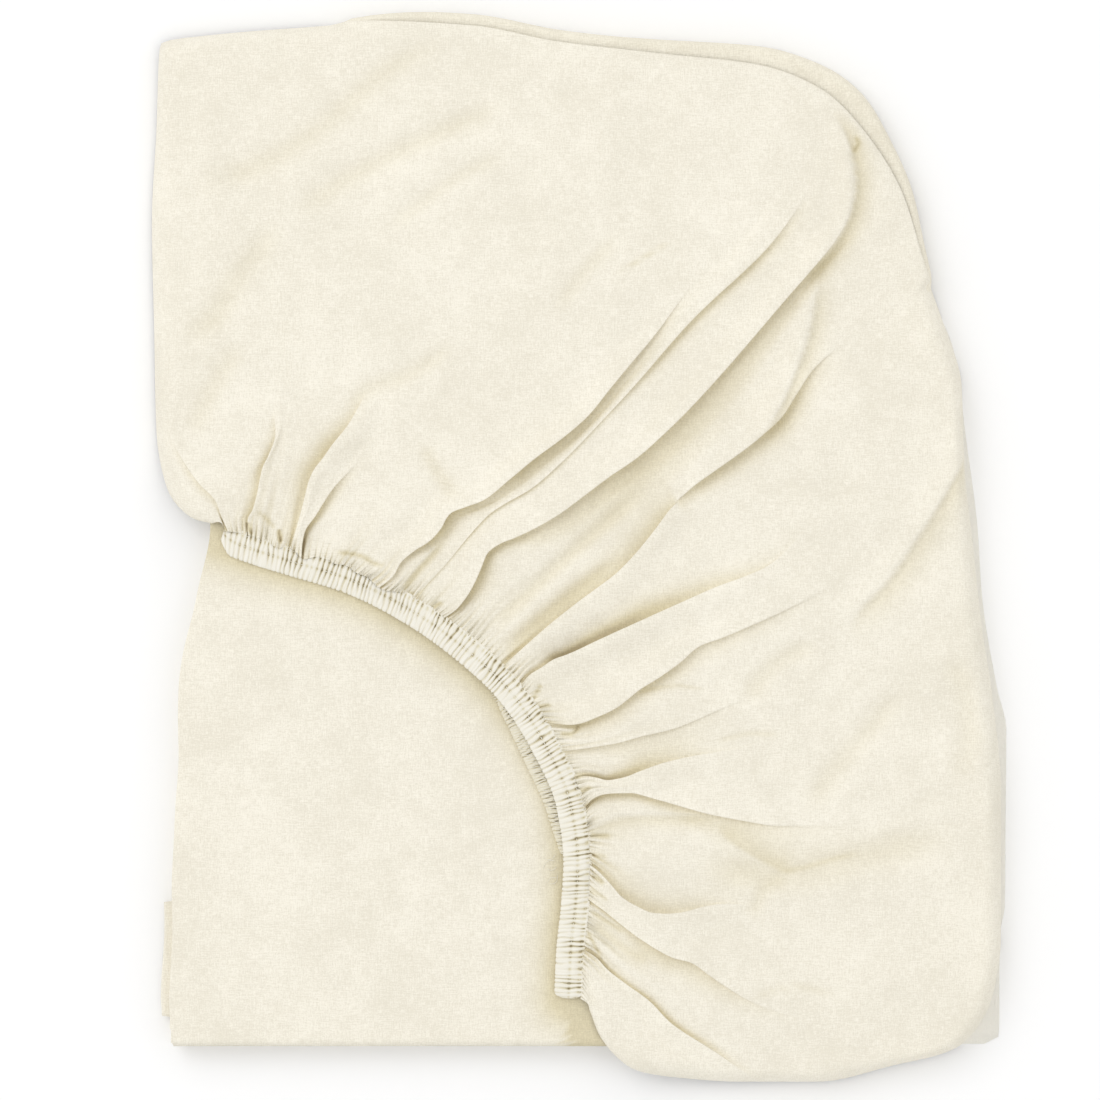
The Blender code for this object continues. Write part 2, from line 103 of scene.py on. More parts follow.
Rim = namedtuple("Rim", "x y edge roll")
RIM = (
    Rim(-158, 11, 16.2, 3), Rim(-166, 13, 15.8, 4), Rim(-178, 26, 7.0, 10), Rim(-183, 51, 2.0, 15),
    Rim(-184, 94, 2.0, 15), Rim(-185, 141, 2.0, 14), Rim(-183, 180, 2.0, 9), Rim(-181, 218, 3.0, 6),
    Rim(-159, 222, 3.0, 6), Rim(-123, 225, 3.0, 6), Rim(-90, 227, 3.0, 6), Rim(-47, 225, 3.0, 6),
    Rim(-9, 218, 3.0, 6), Rim(34, 213, 3.0, 6), Rim(77, 208, 3.0, 6), Rim(103, 198, 3.0, 6),
    Rim(121, 181, 3.0, 6), Rim(138, 154, 3.0, 6), Rim(148, 123, 2.0, 6), Rim(157, 98, 0.6, 6),
    Rim(165, 71, 0.6, 6), Rim(166, 40, 0.6, 6), Rim(170, 1, 0.6, 7), Rim(174, -35, 0.6, 7),
    Rim(178, -61, 0.6, 7), Rim(182, -104, 0.6, 7), Rim(182, -129, 0.6, 6), Rim(182, -168, 0.6, 6),
    Rim(178, -194, 1.8, 6), Rim(163, -215, 2.0, 7), Rim(135, -223, 2.0, 9), Rim(103, -230, 2.0, 10),
    Rim(69, -230, 3.0, 10), Rim(43, -228, 7.0, 10), Rim(24, -224, 14.2, 8), Rim(9, -210, 16.0, 4),
    Rim(4, -198, 16.2, 3),
)
Show = namedtuple("Show", "along out")
SECOND_SHOWS = (
    Show(0, -SECOND_INSET), Show(285, -SECOND_INSET), Show(300, 1.6), Show(342, 5.5),
    Show(410, 5.8), Show(455, 7.5), Show(490, 9.2), Show(519, 10.4), Show(545, 7.0),
    Show(581, 3.4), Show(600, 1.8), Show(612, -2.4), Show(640, -SECOND_INSET),
    Show(1200, -SECOND_INSET),
)

# Folds that fan out from the elastic, clockwise. Each lie says how the fold is at one distance
# along its path: lift is how high one side lies over the other, positive where the
# counter-clockwise side is on top; shade and width are the depth of the painted shade and the
# reach of the hollow under the lip.
Fold = namedtuple("Fold", "name path lies")
FOLDS = (
    Fold("left_end", ((-151, 13), (-153.3, 12.5), (-155.7, 11.8), (-158, 11)), ()),
    Fold("left_side", ((-150.7, 8.8), (-153.2, 13.8), (-156.3, 21.4), (-163.9, 29), (-174, 44), (-183, 64)),
        ((0, -0.5, 0.1, 2), (10, -1, 0.14, 3), (20, -1.2, 0.16, 4), (32, -0.9, 0.1, 5), (50, 0, 0, 5))),
    Fold("lobe", ((-142, 8), (-142, 14), (-140, 18), (-138, 25), (-136, 35), (-132.4, 43), (-130.5, 50),
        (-137, 75), (-157, 102), (-184, 129)), ((0, -1.5, 0.35, 2), (6, -2.5, 0.45, 2.5), (12, -3, 0.4, 4),
        (20, -3, 0.35, 4), (30, -3.2, 0.4, 5), (38, -2.6, 0.3, 5), (45, -1.4, 0.12, 5), (54, 0, 0, 5))),
    Fold("corner", ((-132, 3), (-128, 21), (-124, 38), (-120, 64), (-127, 107), (-146, 159), (-181, 218)),
        ()),
    Fold("long_crease", ((-124, 1), (-121, 11), (-118.5, 20), (-115.3, 32), (-109.7, 40), (-104.6, 47.3),
        (-98.5, 55), (-82, 94), (-66, 159), (-64, 226)), ((0, -1, 0.1, 2), (6, -2, 0.2, 5),
        (12, -2.8, 0.26, 5), (20, -3.2, 0.32, 5), (30, -3.5, 0.4, 6), (45, -3.6, 0.44, 6),
        (56, -2.8, 0.3, 6), (66, -1.2, 0.12, 5), (76, 0, 0, 5))),
    Fold("finger", ((-119, -2), (-118, 8), (-114, 14), (-110.9, 19), (-104.6, 28.4), (-97, 36), (-77, 64),
        (-43, 120), (-22, 172), (-9, 221)), ((0, 1.5, 0.5, 1.6), (6, 3, 0.9, 1.8), (12, 3, 0.7, 2.2),
        (20, 2.8, 0.46, 3.2), (30, 2.2, 0.32, 4), (38, 1.2, 0.16, 4), (48, 0, 0, 4))),
    Fold("curl", ((-99, -8), (-89, 4), (-69, 30), (-43, 64), (-9, 111), (26, 163), (47, 211)), ()),
    Fold("upper_lip", ((-84, -12.5), (-77.5, -7), (-74.4, -1.5), (-70, 2), (-60, 8.8), (-54.6, 17.5),
        (-50, 19.6), (-42.3, 22), (-32.4, 29.1), (-15, 43), (0, 54), (17, 74), (36, 97), (75, 154),
        (100, 200)), ((0, 1.6, 0.2, 1.2), (8, 2, 0.22, 1.4), (17, 2.4, 0.3, 2.4), (30, 4, 0.5, 4),
        (40, 5, 0.55, 4.5), (49, 4, 0.5, 5), (62, 3.6, 0.3, 5), (80, 4.4, 0.5, 4.5), (100, 4.4, 0.42, 5),
        (120, 3.6, 0.36, 5), (145, 2.6, 0.22, 6), (165, 1.2, 0.1, 5), (185, 0, 0, 5))),
    Fold("fine_crease", ((-71.4, -23.5), (-66.4, -16.9), (-59.3, -9.3), (-46.7, 6.1), (-38, 15),
        (-22, 24.5), (18, 64), (48, 98), (83, 132), (101, 158), (117, 185)), ((0, 0.6, 0.35, 0.9),
        (20, 0.6, 0.2, 0.9), (40, 0.9, 0.34, 1), (62, 1.1, 0.36, 1.2), (80, 0.9, 0.26, 1.2),
        (105, 0.9, 0.18, 1.6), (135, 1.3, 0.26, 2.2), (165, 1.6, 0.28, 2.6), (205, 1.4, 0.24, 2.6),
        (228, 0.8, 0.12, 2.5), (242, 0, 0, 3))),
    Fold("lower_lip", ((-58.7, -30.7), (-55.5, -28.5), (-50, -22.4), (-46.7, -17), (-43.4, -10.3),
        (-41.4, -4.6), (-38, -0.2), (-29.1, 3.8), (-15.5, 10.5), (-4, 18.1), (8.6, 28), (22, 37), (43, 56),
        (58, 72), (89, 108), (107, 129), (119, 146), (133, 162)), ((0, 1, 0.5, 1), (8, 3, 0.7, 1.5),
        (18, 4, 0.55, 3.5), (30, 4.4, 0.5, 5), (38, 4, 0.45, 4.5), (47, 3.6, 0.42, 4), (60, 3.8, 0.26, 10),
        (80, 4.2, 0.3, 13), (100, 4.6, 0.4, 14), (130, 4.6, 0.38, 12), (160, 4.4, 0.36, 11),
        (206, 3.8, 0.32, 9), (222, 3.0, 0.26, 8), (236, 1.2, 0.1, 7), (246, 0, 0, 6))),
    Fold("hollow", ((-46, -38), (-34, -24), (-9, -5), (17, 15), (43, 40), (69, 64), (95, 103), (116, 124),
        (144, 135)), ()),
    Fold("big_fold", ((-32, -49), (-13, -32), (1, -21), (18, -8), (31, 7), (43, 22), (71, 43), (86, 56),
        (100, 77), (120, 92), (153, 107)), ((0, -1.5, 0.4, 2), (8, -3, 0.4, 4), (20, -3.4, 0.36, 7),
        (45, -3.4, 0.36, 7), (65, -3, 0.32, 7), (90, -3, 0.36, 6), (99, -1.2, 0.3, 5), (105, 1.2, 0.3, 5),
        (118, 3.8, 0.42, 6), (150, 4.2, 0.36, 7), (168, 3.4, 0.3, 8), (184, 1.6, 0.14, 8), (200, 0, 0, 8))),
    Fold("valley_lip", ((-25.4, -58.1), (-22.4, -54.5), (-16.9, -50.9), (-10, -46.5), (-5.4, -45),
        (6.6, -39.4), (17, -34.6), (29, -29.2), (45, -22), (61, -15), (79, -8), (103, 17), (129, 47),
        (163, 78)), ((0, -1, 0.6, 1), (6, -2, 0.8, 1.1), (12, -2, 0.5, 1.6), (19, -3.6, 1.0, 2),
        (24, -4, 1.0, 2.4), (36, -4.4, 0.85, 3.6), (50, -4.6, 0.75, 5), (65, -4, 0.55, 7),
        (90, -2.6, 0.26, 7), (115, -1.2, 0.1, 7), (140, 0, 0, 6))),
    Fold("middle_lip", ((-15, -75), (-4.3, -75.7), (9, -71.4), (16.9, -67.2), (23.5, -61.7), (30.7, -57.5),
        (36.8, -52.7), (44, -47.9), (50, -42.4), (60.2, -38.4), (73, -33), (99, -21), (125, -5), (150, 17),
        (167, 34)), ((0, 1.2, 0.5, 1), (6, 2, 0.4, 1.2), (12, 2.6, 0.42, 3), (24, 2.8, 0.36, 4),
        (36, 2.8, 0.32, 4), (52, 3.2, 0.4, 4), (70, 2.6, 0.2, 6), (90, 2, 0.12, 6), (120, 0.8, 0.04, 5),
        (140, 0, 0, 5))),
    Fold("short_lip", ((-7, -86.5), (1.7, -85.3), (16.8, -82.9), (25.8, -80.4), (39, -77.4), (60, -69),
        (95, -54), (129, -39), (172, -13)), ((0, 1, 0.3, 1.5), (12, 1.6, 0.22, 3), (22, 1.7, 0.2, 6),
        (32, 1.6, 0.16, 9), (50, 1.2, 0.1, 9), (70, 0.6, 0.03, 8), (85, 0, 0, 8))),
    Fold("knot", ((-1, -97.5), (1.8, -96.8), (7.8, -97.4), (11.4, -98.6), (18.7, -97.7), (26, -95),
        (38.6, -90.7), (73, -84), (116, -74), (177, -56)), ((0, -1, 0.4, 1), (5, -2.4, 0.8, 1.4),
        (12, -3, 0.9, 1.8), (20, -3, 0.75, 3.5), (30, -2.6, 0.45, 5), (45, -1.6, 0.2, 6),
        (65, -0.6, 0.03, 5), (80, 0, 0, 5))),
    Fold("long_ridge", ((2.7, -111.4), (6.9, -106.6), (12.9, -104.7), (22.6, -104.5), (31, -106.6),
        (43, -110), (54, -113.2), (70, -116.5), (86, -119), (109, -119), (131, -114), (146, -105),
        (181, -97)), ((0, 1.6, 0.5, 1.6), (6, 3, 0.56, 3), (12, 3, 0.5, 3.6), (22, 3, 0.42, 3.4),
        (34, 2.8, 0.34, 4), (50, 2.4, 0.28, 6), (64, 1.8, 0.22, 11), (84, 0.9, 0.14, 12),
        (104, 0.3, 0.05, 10), (124, 0, 0, 8))),
    Fold("puff", ((5, -126), (30, -130), (52, -134), (83, -139), (109, -132), (131, -128), (160, -123),
        (182, -124)), ()),
    Fold("under_puff", ((5.2, -135), (9.9, -139.2), (14.2, -144), (18.9, -149.4), (25, -153), (31, -155.7),
        (39, -156.4), (48, -154.8), (60, -152), (90, -153), (130, -158), (182, -166)), ((0, -1, 0.35, 1.5),
        (8, -2, 0.36, 3), (16, -2.6, 0.34, 5), (24, -2.8, 0.3, 7), (34, -2.8, 0.26, 8), (48, -2.2, 0.16, 8),
        (62, -1.2, 0.05, 8), (80, 0, 0, 8))),
    Fold("front_lip", ((4.5, -150.6), (9.9, -154.2), (16.6, -159.7), (25, -166.3), (32.3, -171.1),
        (38.3, -174.7), (48, -177.5), (55.2, -182.6), (77, -196), (108, -205), (163, -215)),
        ((0, 1, 0.5, 1), (8, 1.6, 0.5, 1.1), (16, 1.6, 0.36, 1.5), (24, 2, 0.28, 4), (34, 2.6, 0.32, 7),
        (50, 2.3, 0.28, 9), (68, 1.3, 0.18, 10), (90, 0.4, 0.06, 8), (108, 0, 0, 6))),
    Fold("front_crease", ((3.3, -171.7), (8.7, -175.4), (12.9, -180.2), (20.2, -186.2), (30.5, -194),
        (39, -203), (57, -215), (80, -230)), ((0, -1, 0.5, 1), (6, -2, 0.75, 1.3), (14, -2, 0.65, 1.4),
        (24, -1.8, 0.45, 1.5), (34, -2.2, 0.55, 1.5), (48, -2.6, 0.55, 2), (66, -1.6, 0.3, 4),
        (82, -0.6, 0.1, 4), (95, 0, 0, 4))),
    Fold("front_edge", ((3, -183), (10, -197), (18, -211), (26, -224)), ()),
    Fold("low_end", ((3.8, -193), (3.9, -194.7), (3.9, -196.3), (4, -198)), ()),
)
LIP_BEFORE = 0.10           # share of the fold spacing that a lip takes from its upper side
LIP_AFTER = 0.05            # and from its lower side
LIP_RISE = 15.0             # how far back from its edge the upper side begins to rise
LIP_TROUGH = 0.35           # depth of the hollow under the lip, as a share of its lift
# Across a lip, from the upper side to the lower: where the cloth goes and how high it is.
# near is a share of the way from the lip's start, far of the way to its end, and under is a
# share of the lift, so that the cloth turns over its edge and comes back beneath it.
Turn = namedtuple("Turn", "at near far under height")
LIP_TURNS = (
    Turn(0.0, 1.0, 0.0, 0.0, 1.0), Turn(0.38, 0.12, 0.0, 0.0, 1.0), Turn(0.52, 0.0, 0.0, 0.0, 0.88),
    Turn(0.64, 0.0, 0.0, -0.02, 0.55), Turn(0.76, 0.0, 0.0, -0.16, 0.2), Turn(0.88, 0.0, 0.1, -0.26, 0.03),
    Turn(1.0, 0.0, 1.0, 0.0, 0.0),
)

# Creases that don't run with the fan, each with painted shade of the given depth. A trough is
# soft across `width`; a slit is a narrow one with dark painted shade; a step is the edge of
# cloth lying over, `height` up, sharp on the right of its path, its painted shade on that side.
Crease = namedtuple("Crease", "name kind height width shade path")
CREASES = (
    Crease("back_long", "trough", 1.9, 4.6, 0.12, ((-170, 154), (-135, 166), (-111, 181), (-82, 206),
        (-52, 221))),
    Crease("back_middle", "trough", 1.8, 4.2, 0.12, ((-127, 142), (-87, 166), (-64, 177), (-28, 193))),
    Crease("back_short", "trough", 1.2, 3.0, 0.08, ((-84, 136), (-70, 147), (-52, 160), (-28, 172))),
    Crease("left_slant", "trough", 1.8, 5.0, 0.12, ((-172, 89), (-158, 99), (-146, 118), (-127, 142))),
    Crease("middle_slant", "trough", 1.2, 3.0, 0.1, ((-11, 101), (1, 118), (18, 136))),
    Crease("fine_line", "slit", 0.5, 0.9, 0.25, ((16, 118), (27, 125), (39, 132))),
    Crease("crease_tail", "trough", 1.6, 3.4, 0.1, ((-100, 55), (-92, 68), (-76, 74), (-52, 88))),
    Crease("centre_line", "step", 1.0, 5.0, 0.14, ((18, 64), (32, 80), (48, 98), (74, 123), (91, 141),
        (101, 158))),
    Crease("lip_end", "step", 3.6, 6.0, 0.36, ((92, 111), (100, 120), (107, 127.5), (113, 136), (117, 146),
        (118.5, 156), (117.7, 165), (114, 178), (105, 190))),
    Crease("fold_end", "step", 2.8, 6.0, 0.26, ((72, 44), (84, 57), (92, 74), (98, 90), (101, 105),
        (103, 122))),
    Crease("tucked_edge", "slit", 0.8, 1.0, 0.4, ((117, 170), (119.5, 174), (118, 178))),
    Crease("right_overlap", "step", 2.4, 8.0, 0.24, ((113, -40), (118.7, -28.4), (132.6, -13.5),
        (147.4, 8.2), (160, 29), (165, 40), (165.5, 52), (167, 72))),
    Crease("right_line", "slit", 0.8, 1.3, 0.18, ((83, -139), (95, -137), (109, -133), (122, -130))),
    Crease("right_valley", "trough", 2.2, 7.0, 0.16, ((44, -133), (66, -138.5), (86, -139.5), (109, -135),
        (131, -129.5), (165, -122))),
    Crease("over_puff", "step", 1.8, 5.0, 0.26, ((3, -121), (10.5, -117.4), (16.6, -115.3), (31, -114.4),
        (47, -114.7), (60, -115.5))),
    Crease("puff_side", "step", 1.6, 8.0, 0.22, ((92, -141), (80, -135), (69, -128.4), (61.6, -123),
        (57, -116))),
    Crease("puff_tail", "trough", 1.4, 3.0, 0.12, ((90, -141), (79, -146), (76, -152), (70, -158))),
    Crease("hollow_crease", "trough", 2.0, 3.2, 0.2, ((-42, -38), (-31, -27.5), (-18, -15), (-3, -1),
        (14, 14), (32, 30))),
    Crease("fold_shade", "trough", 1.4, 2.6, 0.16, ((-37, -47), (-26, -37.5), (-13, -27), (2, -15),
        (20, -1))),
    Crease("mid_line", "slit", 0.6, 1.3, 0.14, ((57, -82.5), (64, -81), (74, -79), (87, -79.6))),
    Crease("mid_trough", "trough", 1.5, 4.0, 0.1, ((70, -66), (75, -59), (83, -49.9), (103, -39))),
    Crease("right_slant", "trough", 1.7, 4.6, 0.1, ((96, -114), (109, -95), (123.4, -78.3), (141, -58))),
    Crease("far_right", "trough", 1.5, 5.0, 0.09, ((155, -44), (164, -60), (167, -78), (161, -104))),
    Crease("low_line", "slit", 0.6, 1.4, 0.12, ((72, -193.5), (82, -190), (92, -188), (112, -190.6))),
    Crease("lip_dent", "trough", 1.6, 2.6, 0.16, ((-68, 46), (-63, 36), (-57.5, 27.5), (-53.5, 21))),
    Crease("left_bow", "trough", 1.6, 4.2, 0.1, ((-168, 48), (-161, 62), (-156.5, 71.8), (-144, 90))),
    Crease("second_wedge", "step", 2.4, 2.2, 0.6, ((-78, -20), (-74.1, -13.7), (-69.2, -7.6), (-64.2, -2.2),
        (-58, 5))),
    Crease("first_blob", "slit", 0.8, 1.0, 0.55, ((-64, -26), (-61.5, -24), (-58.5, -22.6))),
    Crease("small_wedge", "slit", 0.9, 0.9, 0.6, ((-74, -24), (-73, -20.5), (-72.4, -17.5))),
    Crease("thin_one", "slit", 0.9, 0.7, 0.7, ((-21.7, -66), (-18.7, -61.7), (-16.3, -57))),
    Crease("thin_two", "slit", 0.8, 0.7, 0.6, ((-19, -70), (-17, -67.8), (-12, -66.5))),
    Crease("curl_mark", "slit", 1.0, 0.8, 0.6, ((-9.5, -79.3), (-4.3, -79.3), (-1.8, -78), (-0.4, -74.6))),
    Crease("branch", "slit", 0.6, 0.9, 0.22, ((23.5, -61.7), (30.7, -60), (41, -58.7), (55, -60.5))),
    Crease("low_mark", "slit", 0.8, 0.8, 0.55, ((-3.3, -106), (0.9, -103.5), (5.5, -101.5))),
    Crease("puff_mark", "slit", 0.8, 1.2, 0.35, ((3.5, -122.3), (8, -123), (14, -123.4))),
    Crease("puff_foot", "slit", 0.8, 0.9, 0.35, ((3.5, -130.7), (7, -131), (12.5, -132.6))),
    Crease("foot_mark", "slit", 0.9, 0.8, 0.6, ((4.6, -140), (7, -141), (10.6, -143.8))),
    Crease("foot_line", "slit", 0.7, 0.8, 0.35, ((3.5, -145.6), (7, -147.4), (12.6, -151))),
    Crease("front_mark", "slit", 0.8, 0.9, 0.35, ((3.5, -154.8), (10, -158.6), (20, -165))),
    Crease("front_thin", "slit", 0.8, 0.7, 0.4, ((2.7, -163.3), (5.4, -168.6), (9.5, -176))),
    Crease("front_hollow", "trough", 1.2, 3.0, 0.26, ((4, -158), (10, -164), (20, -172), (32, -179))),
    Crease("left_slit", "slit", 1.4, 0.8, 0.9, ((-129.4, 9), (-129, 5.4), (-128.4, 2))),
    Crease("lobe_slit", "slit", 1.2, 0.9, 0.6, ((-142.6, 12), (-142, 9), (-140.8, 5.5))),
    Crease("lobe_foot", "slit", 0.7, 0.9, 0.35, ((-139, 16.6), (-134.6, 13), (-130.5, 8))),
    Crease("flap_top", "slit", 1.0, 1.0, 0.45, ((-106, -1.3), (-99, -1.9), (-93.3, -3.2), (-88.2, -6.2),
        (-82, -7.4))),
)
STEP_DROP = 2.4
STEP_RISE = 12.0

# Cloth that stands up between the folds: half axes, the long one's turn from +X, and height
Puff = namedtuple("Puff", "x y long short turn height")
PUFFS = (
    Puff(40, -135, 30, 12, -6, 3.2), Puff(-157, 22, 10, 6, 20, 1.2), Puff(-14, -18, 24, 4, 42, 1.0),
    Puff(-112, 12, 5, 4, 60, 1.0), Puff(-86, 8, 20, 9, 35, 1.2), Puff(-34, 0, 10, 3, 52, 0.8),
    Puff(24, -70, 24, 8, 30, 1.0),
    Puff(60, -98, 34, 8, -8, 1.0), Puff(90, -40, 34, 16, 24, 0.9), Puff(30, -186, 24, 6, -38, 1.0),
    Puff(-60, 130, 50, 26, 40, 0.8), Puff(-130, 110, 26, 40, 10, 0.7), Puff(120, 20, 30, 18, 35, 0.8),
)

# Soft unevenness of the cloth: noise of that height and size, moved to its own place
Swell = namedtuple("Swell", "height size moved seed")
POCKET_SWELLS = (Swell(0.5, 31, 40, 11), Swell(0.28, 14, 40, 12), Swell(0.16, 6.5, 60, 14))
LAYER_SWELLS = (Swell(0.55, 60, 20, 31), Swell(0.2, 24, 20, 32))

POCKET_LINES = 640
POCKET_RINGS = 140
RIM_RINGS = 26              # of them, over the turned-down rim
PLEAT_DEPTH = 1.2
# Painted shade in a pleat's dip, for each millimetre of its depth
PLEAT_SHADE = 0.34
PLEAT_SHORT = 2.2           # the least length of a pleat
PLEAT_LONG = 5.5            # what its chance length adds on average
PLEAT_REACH = 9.0           # how far to its sides a pleat is worked out
POCKET_LIMIT = 1.15         # height of the pocket's cloth over what lies under it, at least
SECOND_FREE = 12.0          # how far from the elastic no second pocket lies under it
SPACING_STEP = 0.04         # of a fold, to each side, over which the fan's spacing is measured
SHORT_LINE, LONG_LINE = 15.0, 60.0      # lines without pleats and noise, and with all of them
NOISE_START = 25.0          # distance from the elastic over which the noise comes in


def cubic(low, rise, high, fall, share):
    """A cubic from low to high that leaves with the slope rise and arrives with the slope fall."""
    point = low * (1 + 2 * share) * (1 - share) ** 2 + rise * share * (1 - share) ** 2
    return point + high * share ** 2 * (3 - 2 * share) + fall * share ** 2 * (share - 1)


def smooth_values(places, values, wanted):
    """Values at the wanted places on a curve through the given ones that never overshoots.

    Each stretch is a cubic. Its slope at a given place is the harmonic mean of the slopes to
    both sides, or zero where these differ in sign.
    """
    places = np.asarray(places, float)
    values = np.asarray(values, float)
    wanted = np.clip(wanted, places[0], places[-1])
    steps = np.diff(places)
    shape = (-1,) + (1,) * (values.ndim - 1)
    slopes = np.diff(values, axis=0) / steps.reshape(shape)
    before, after = slopes[:-1], slopes[1:]
    total = before + after
    inner = np.where(before * after > 0, 2 * before * after / np.where(total == 0, 1, total), 0.0)
    ends = np.concatenate((slopes[:1], inner, slopes[-1:]))
    index = np.clip(np.searchsorted(places, wanted, side="right") - 1, 0, len(steps) - 1)
    step = steps[index].reshape(index.shape + shape[1:])
    share = ((wanted - places[index]) / steps[index]).reshape(index.shape + shape[1:])
    return cubic(values[index], step * ends[index], values[index + 1], step * ends[index + 1], share)


def smooth_step(low, high, value):
    """0 below low, 1 above high and a soft rise between."""
    share = np.clip((value - low) / (high - low), 0.0, 1.0)
    return share * share * (3 - 2 * share)


def bell(off, width):
    """A Gaussian: 1 in the middle, down to about a third at the width."""
    return np.exp(-(off / width) ** 2)


def half_cosine(share):
    """1 at a share of 0 and below, 0 at 1 and above, half a cosine between."""
    return 0.5 + 0.5 * np.cos(math.pi * np.clip(share, 0.0, 1.0))


def together(*parts):
    """Coordinates from arrays that are stretched to one shape."""
    return np.stack(np.broadcast_arrays(*parts), axis=-1)


def raised(flat, height):
    """Flat points with their heights as the third coordinate."""
    return np.concatenate([flat, height[..., None]], axis=-1)


class Path:
    """A smooth path through points, measured by the distance along it."""

    def __init__(self, points):
        self.points = np.asarray(points, float)
        gaps = np.linalg.norm(np.diff(self.points, axis=0), axis=1)
        self.marks = np.concatenate(([0.0], np.cumsum(gaps)))
        self.length = self.marks[-1]

    def at(self, along):
        return smooth_values(self.marks, self.points, along)

    def column(self, rows, name, along):
        return smooth_values(self.marks, [getattr(row, name) for row in rows], along)

    def outward(self, along):
        """The unit direction to the left of the way the path runs."""
        run = self.at(along + 0.5) - self.at(along - 0.5)
        run /= np.linalg.norm(run, axis=-1, keepdims=True)
        return together(-run[..., 1], run[..., 0])

    def nearest(self, point):
        along = np.linspace(0.0, self.length, 2000)
        return along[np.argmin(np.linalg.norm(self.at(along) - np.asarray(point, float), axis=1))]

    def spread(self, points, reach):
        """Signed distance to the right of the path and share along it, for points within reach.

        The nearest of 80 short chords gives both. Points farther off keep a distance of
        twice the reach, so that a crease leaves them alone.
        """
        chain = self.at(np.linspace(0.0, self.length, 81))
        off = np.full(points.shape[:-1], 2.0 * reach)
        share = np.zeros(points.shape[:-1])
        low, high = chain.min(0) - reach, chain.max(0) + reach
        near = np.all((points > low) & (points < high), axis=-1)
        close = points[near]
        start, run = chain[:-1], np.diff(chain, axis=0)
        size = np.einsum("ij,ij->i", run, run)
        best = np.full(len(close), np.inf)
        side = np.zeros(len(close))
        part = np.zeros(len(close))
        for number in range(len(run)):
            gap = close - start[number]
            t = np.clip(gap @ run[number] / size[number], 0.0, 1.0)
            rest = gap - t[:, None] * run[number]
            distance = np.hypot(rest[:, 0], rest[:, 1])
            nearer = distance < best
            best = np.where(nearer, distance, best)
            cross = gap[:, 0] * run[number][1] - gap[:, 1] * run[number][0]
            side = np.where(nearer, np.sign(cross), side)
            part = np.where(nearer, (number + t) / len(run), part)
        off[near] = np.where(best < reach, best * side, 2.0 * reach)
        share[near] = part
        return off, share


ELASTIC = Path([(row.x, row.y) for row in ELASTIC_ROUTE])
RIM_PATH = Path([(row.x, row.y) for row in RIM])
COUNT = np.arange(len(FOLDS), dtype=float)
KNOT_SHARES = np.concatenate([np.linspace(0.0, 0.2, 9)[:-1], np.linspace(0.2, 1.0, 17)])


def fan_guides():
    """Each fold's path at shared distances, and where its ends meet the elastic and the rim."""
    paths = [Path(fold.path) for fold in FOLDS]
    knots = np.array([path.at(KNOT_SHARES * path.length) for path in paths])
    starts = np.array([ELASTIC.nearest(fold.path[0]) for fold in FOLDS])
    ends = np.array([RIM_PATH.nearest(fold.path[-1]) for fold in FOLDS])
    starts[0], starts[-1] = 0.0, ELASTIC.length
    ends[0], ends[-1] = 0.0, RIM_PATH.length
    return starts, ends, knots


STARTS, ENDS, KNOTS = fan_guides()


def elastic_base(along):
    return ELASTIC_BASE + ELASTIC.column(ELASTIC_ROUTE, "lift", along)


def elastic_along(place):
    """Distance along the elastic at which the fan's line at a place starts."""
    return smooth_values(COUNT, STARTS, place)


def rim_along(place):
    """Distance along the rim at which the fan's line at a place ends."""
    return smooth_values(COUNT, ENDS, place)


def at_flaps(name, along):
    """The flaps' covers or raises along the elastic, a Gaussian each."""
    return sum(getattr(flap, name) * bell(along - flap.along, flap.width) for flap in FLAPS)


def opening_edge(along):
    """The pocket's edge: drawn a little over the elastic's outer side, more so at the flaps."""
    beside = ELASTIC_WIDTH / 2 - EDGE_COVER - at_flaps("cover", along)
    return ELASTIC.at(along) + ELASTIC.outward(along) * beside[..., None]


def fan_lines(place):
    """The fan's line at each place, through blends of the folds' paths, drawn onto both ends."""
    line = smooth_values(COUNT, KNOTS, place)
    start = opening_edge(elastic_along(place))
    end = RIM_PATH.at(rim_along(place))
    way = KNOT_SHARES[None, :, None]
    line = line + (1 - way) ** 3 * (start - line[:, 0])[:, None]
    return line + way ** 3 * (end - line[:, -1])[:, None]


def along_lines(lines, way):
    """Points at the given ways on each line: a cubic between its neighbouring knots."""
    index = np.clip(np.searchsorted(KNOT_SHARES, way, side="right") - 1, 0, len(KNOT_SHARES) - 2)
    row = np.arange(len(lines))[:, None]
    step = (KNOT_SHARES[index + 1] - KNOT_SHARES[index])[..., None]
    share = (way[..., None] - KNOT_SHARES[index][..., None]) / step
    slopes = np.gradient(lines, KNOT_SHARES, axis=1)
    low, high = lines[row, index], lines[row, index + 1]
    return cubic(low, slopes[row, index] * step, high, slopes[row, index + 1] * step, share)


def line_lengths(lines):
    return np.linalg.norm(np.diff(lines, axis=1), axis=2).sum(axis=1)


def ways_with_rim(level, turned, rings):
    """Level ways up to the rim, whose rings lie closer together the farther down they are."""
    last = np.sin(np.linspace(0.0, math.pi / 2, rings))[None, :]
    return np.concatenate([level * (1 - turned), 1 - turned * (1 - last)], axis=1)


def second_out(along):
    return smooth_values([row.along for row in SECOND_SHOWS], [row.out for row in SECOND_SHOWS], along)


ROLL_SHARE = 1.6            # the soft shoulder's width, as a share of the solid's


def rolled(inside, roll, edge, top):
    """A soft shoulder from the edge's height up to the top, roll wide: steep at first, then level.

    It rises by the square root of what the cube of the way that is left takes from 1.
    """
    share = np.clip(inside / roll, 0.0, 1.0)
    return edge + (top - edge) * np.sqrt(1 - (1 - share) ** 3)


def smooth_lie(point):
    """Height of the pocket's cloth without its folds: level, with a low swell to the right."""
    off = np.linalg.norm(point - np.array(SWELL_CENTRE), axis=-1)
    return POCKET_CREST + POCKET_SWELL * bell(off, SWELL_RADIUS)


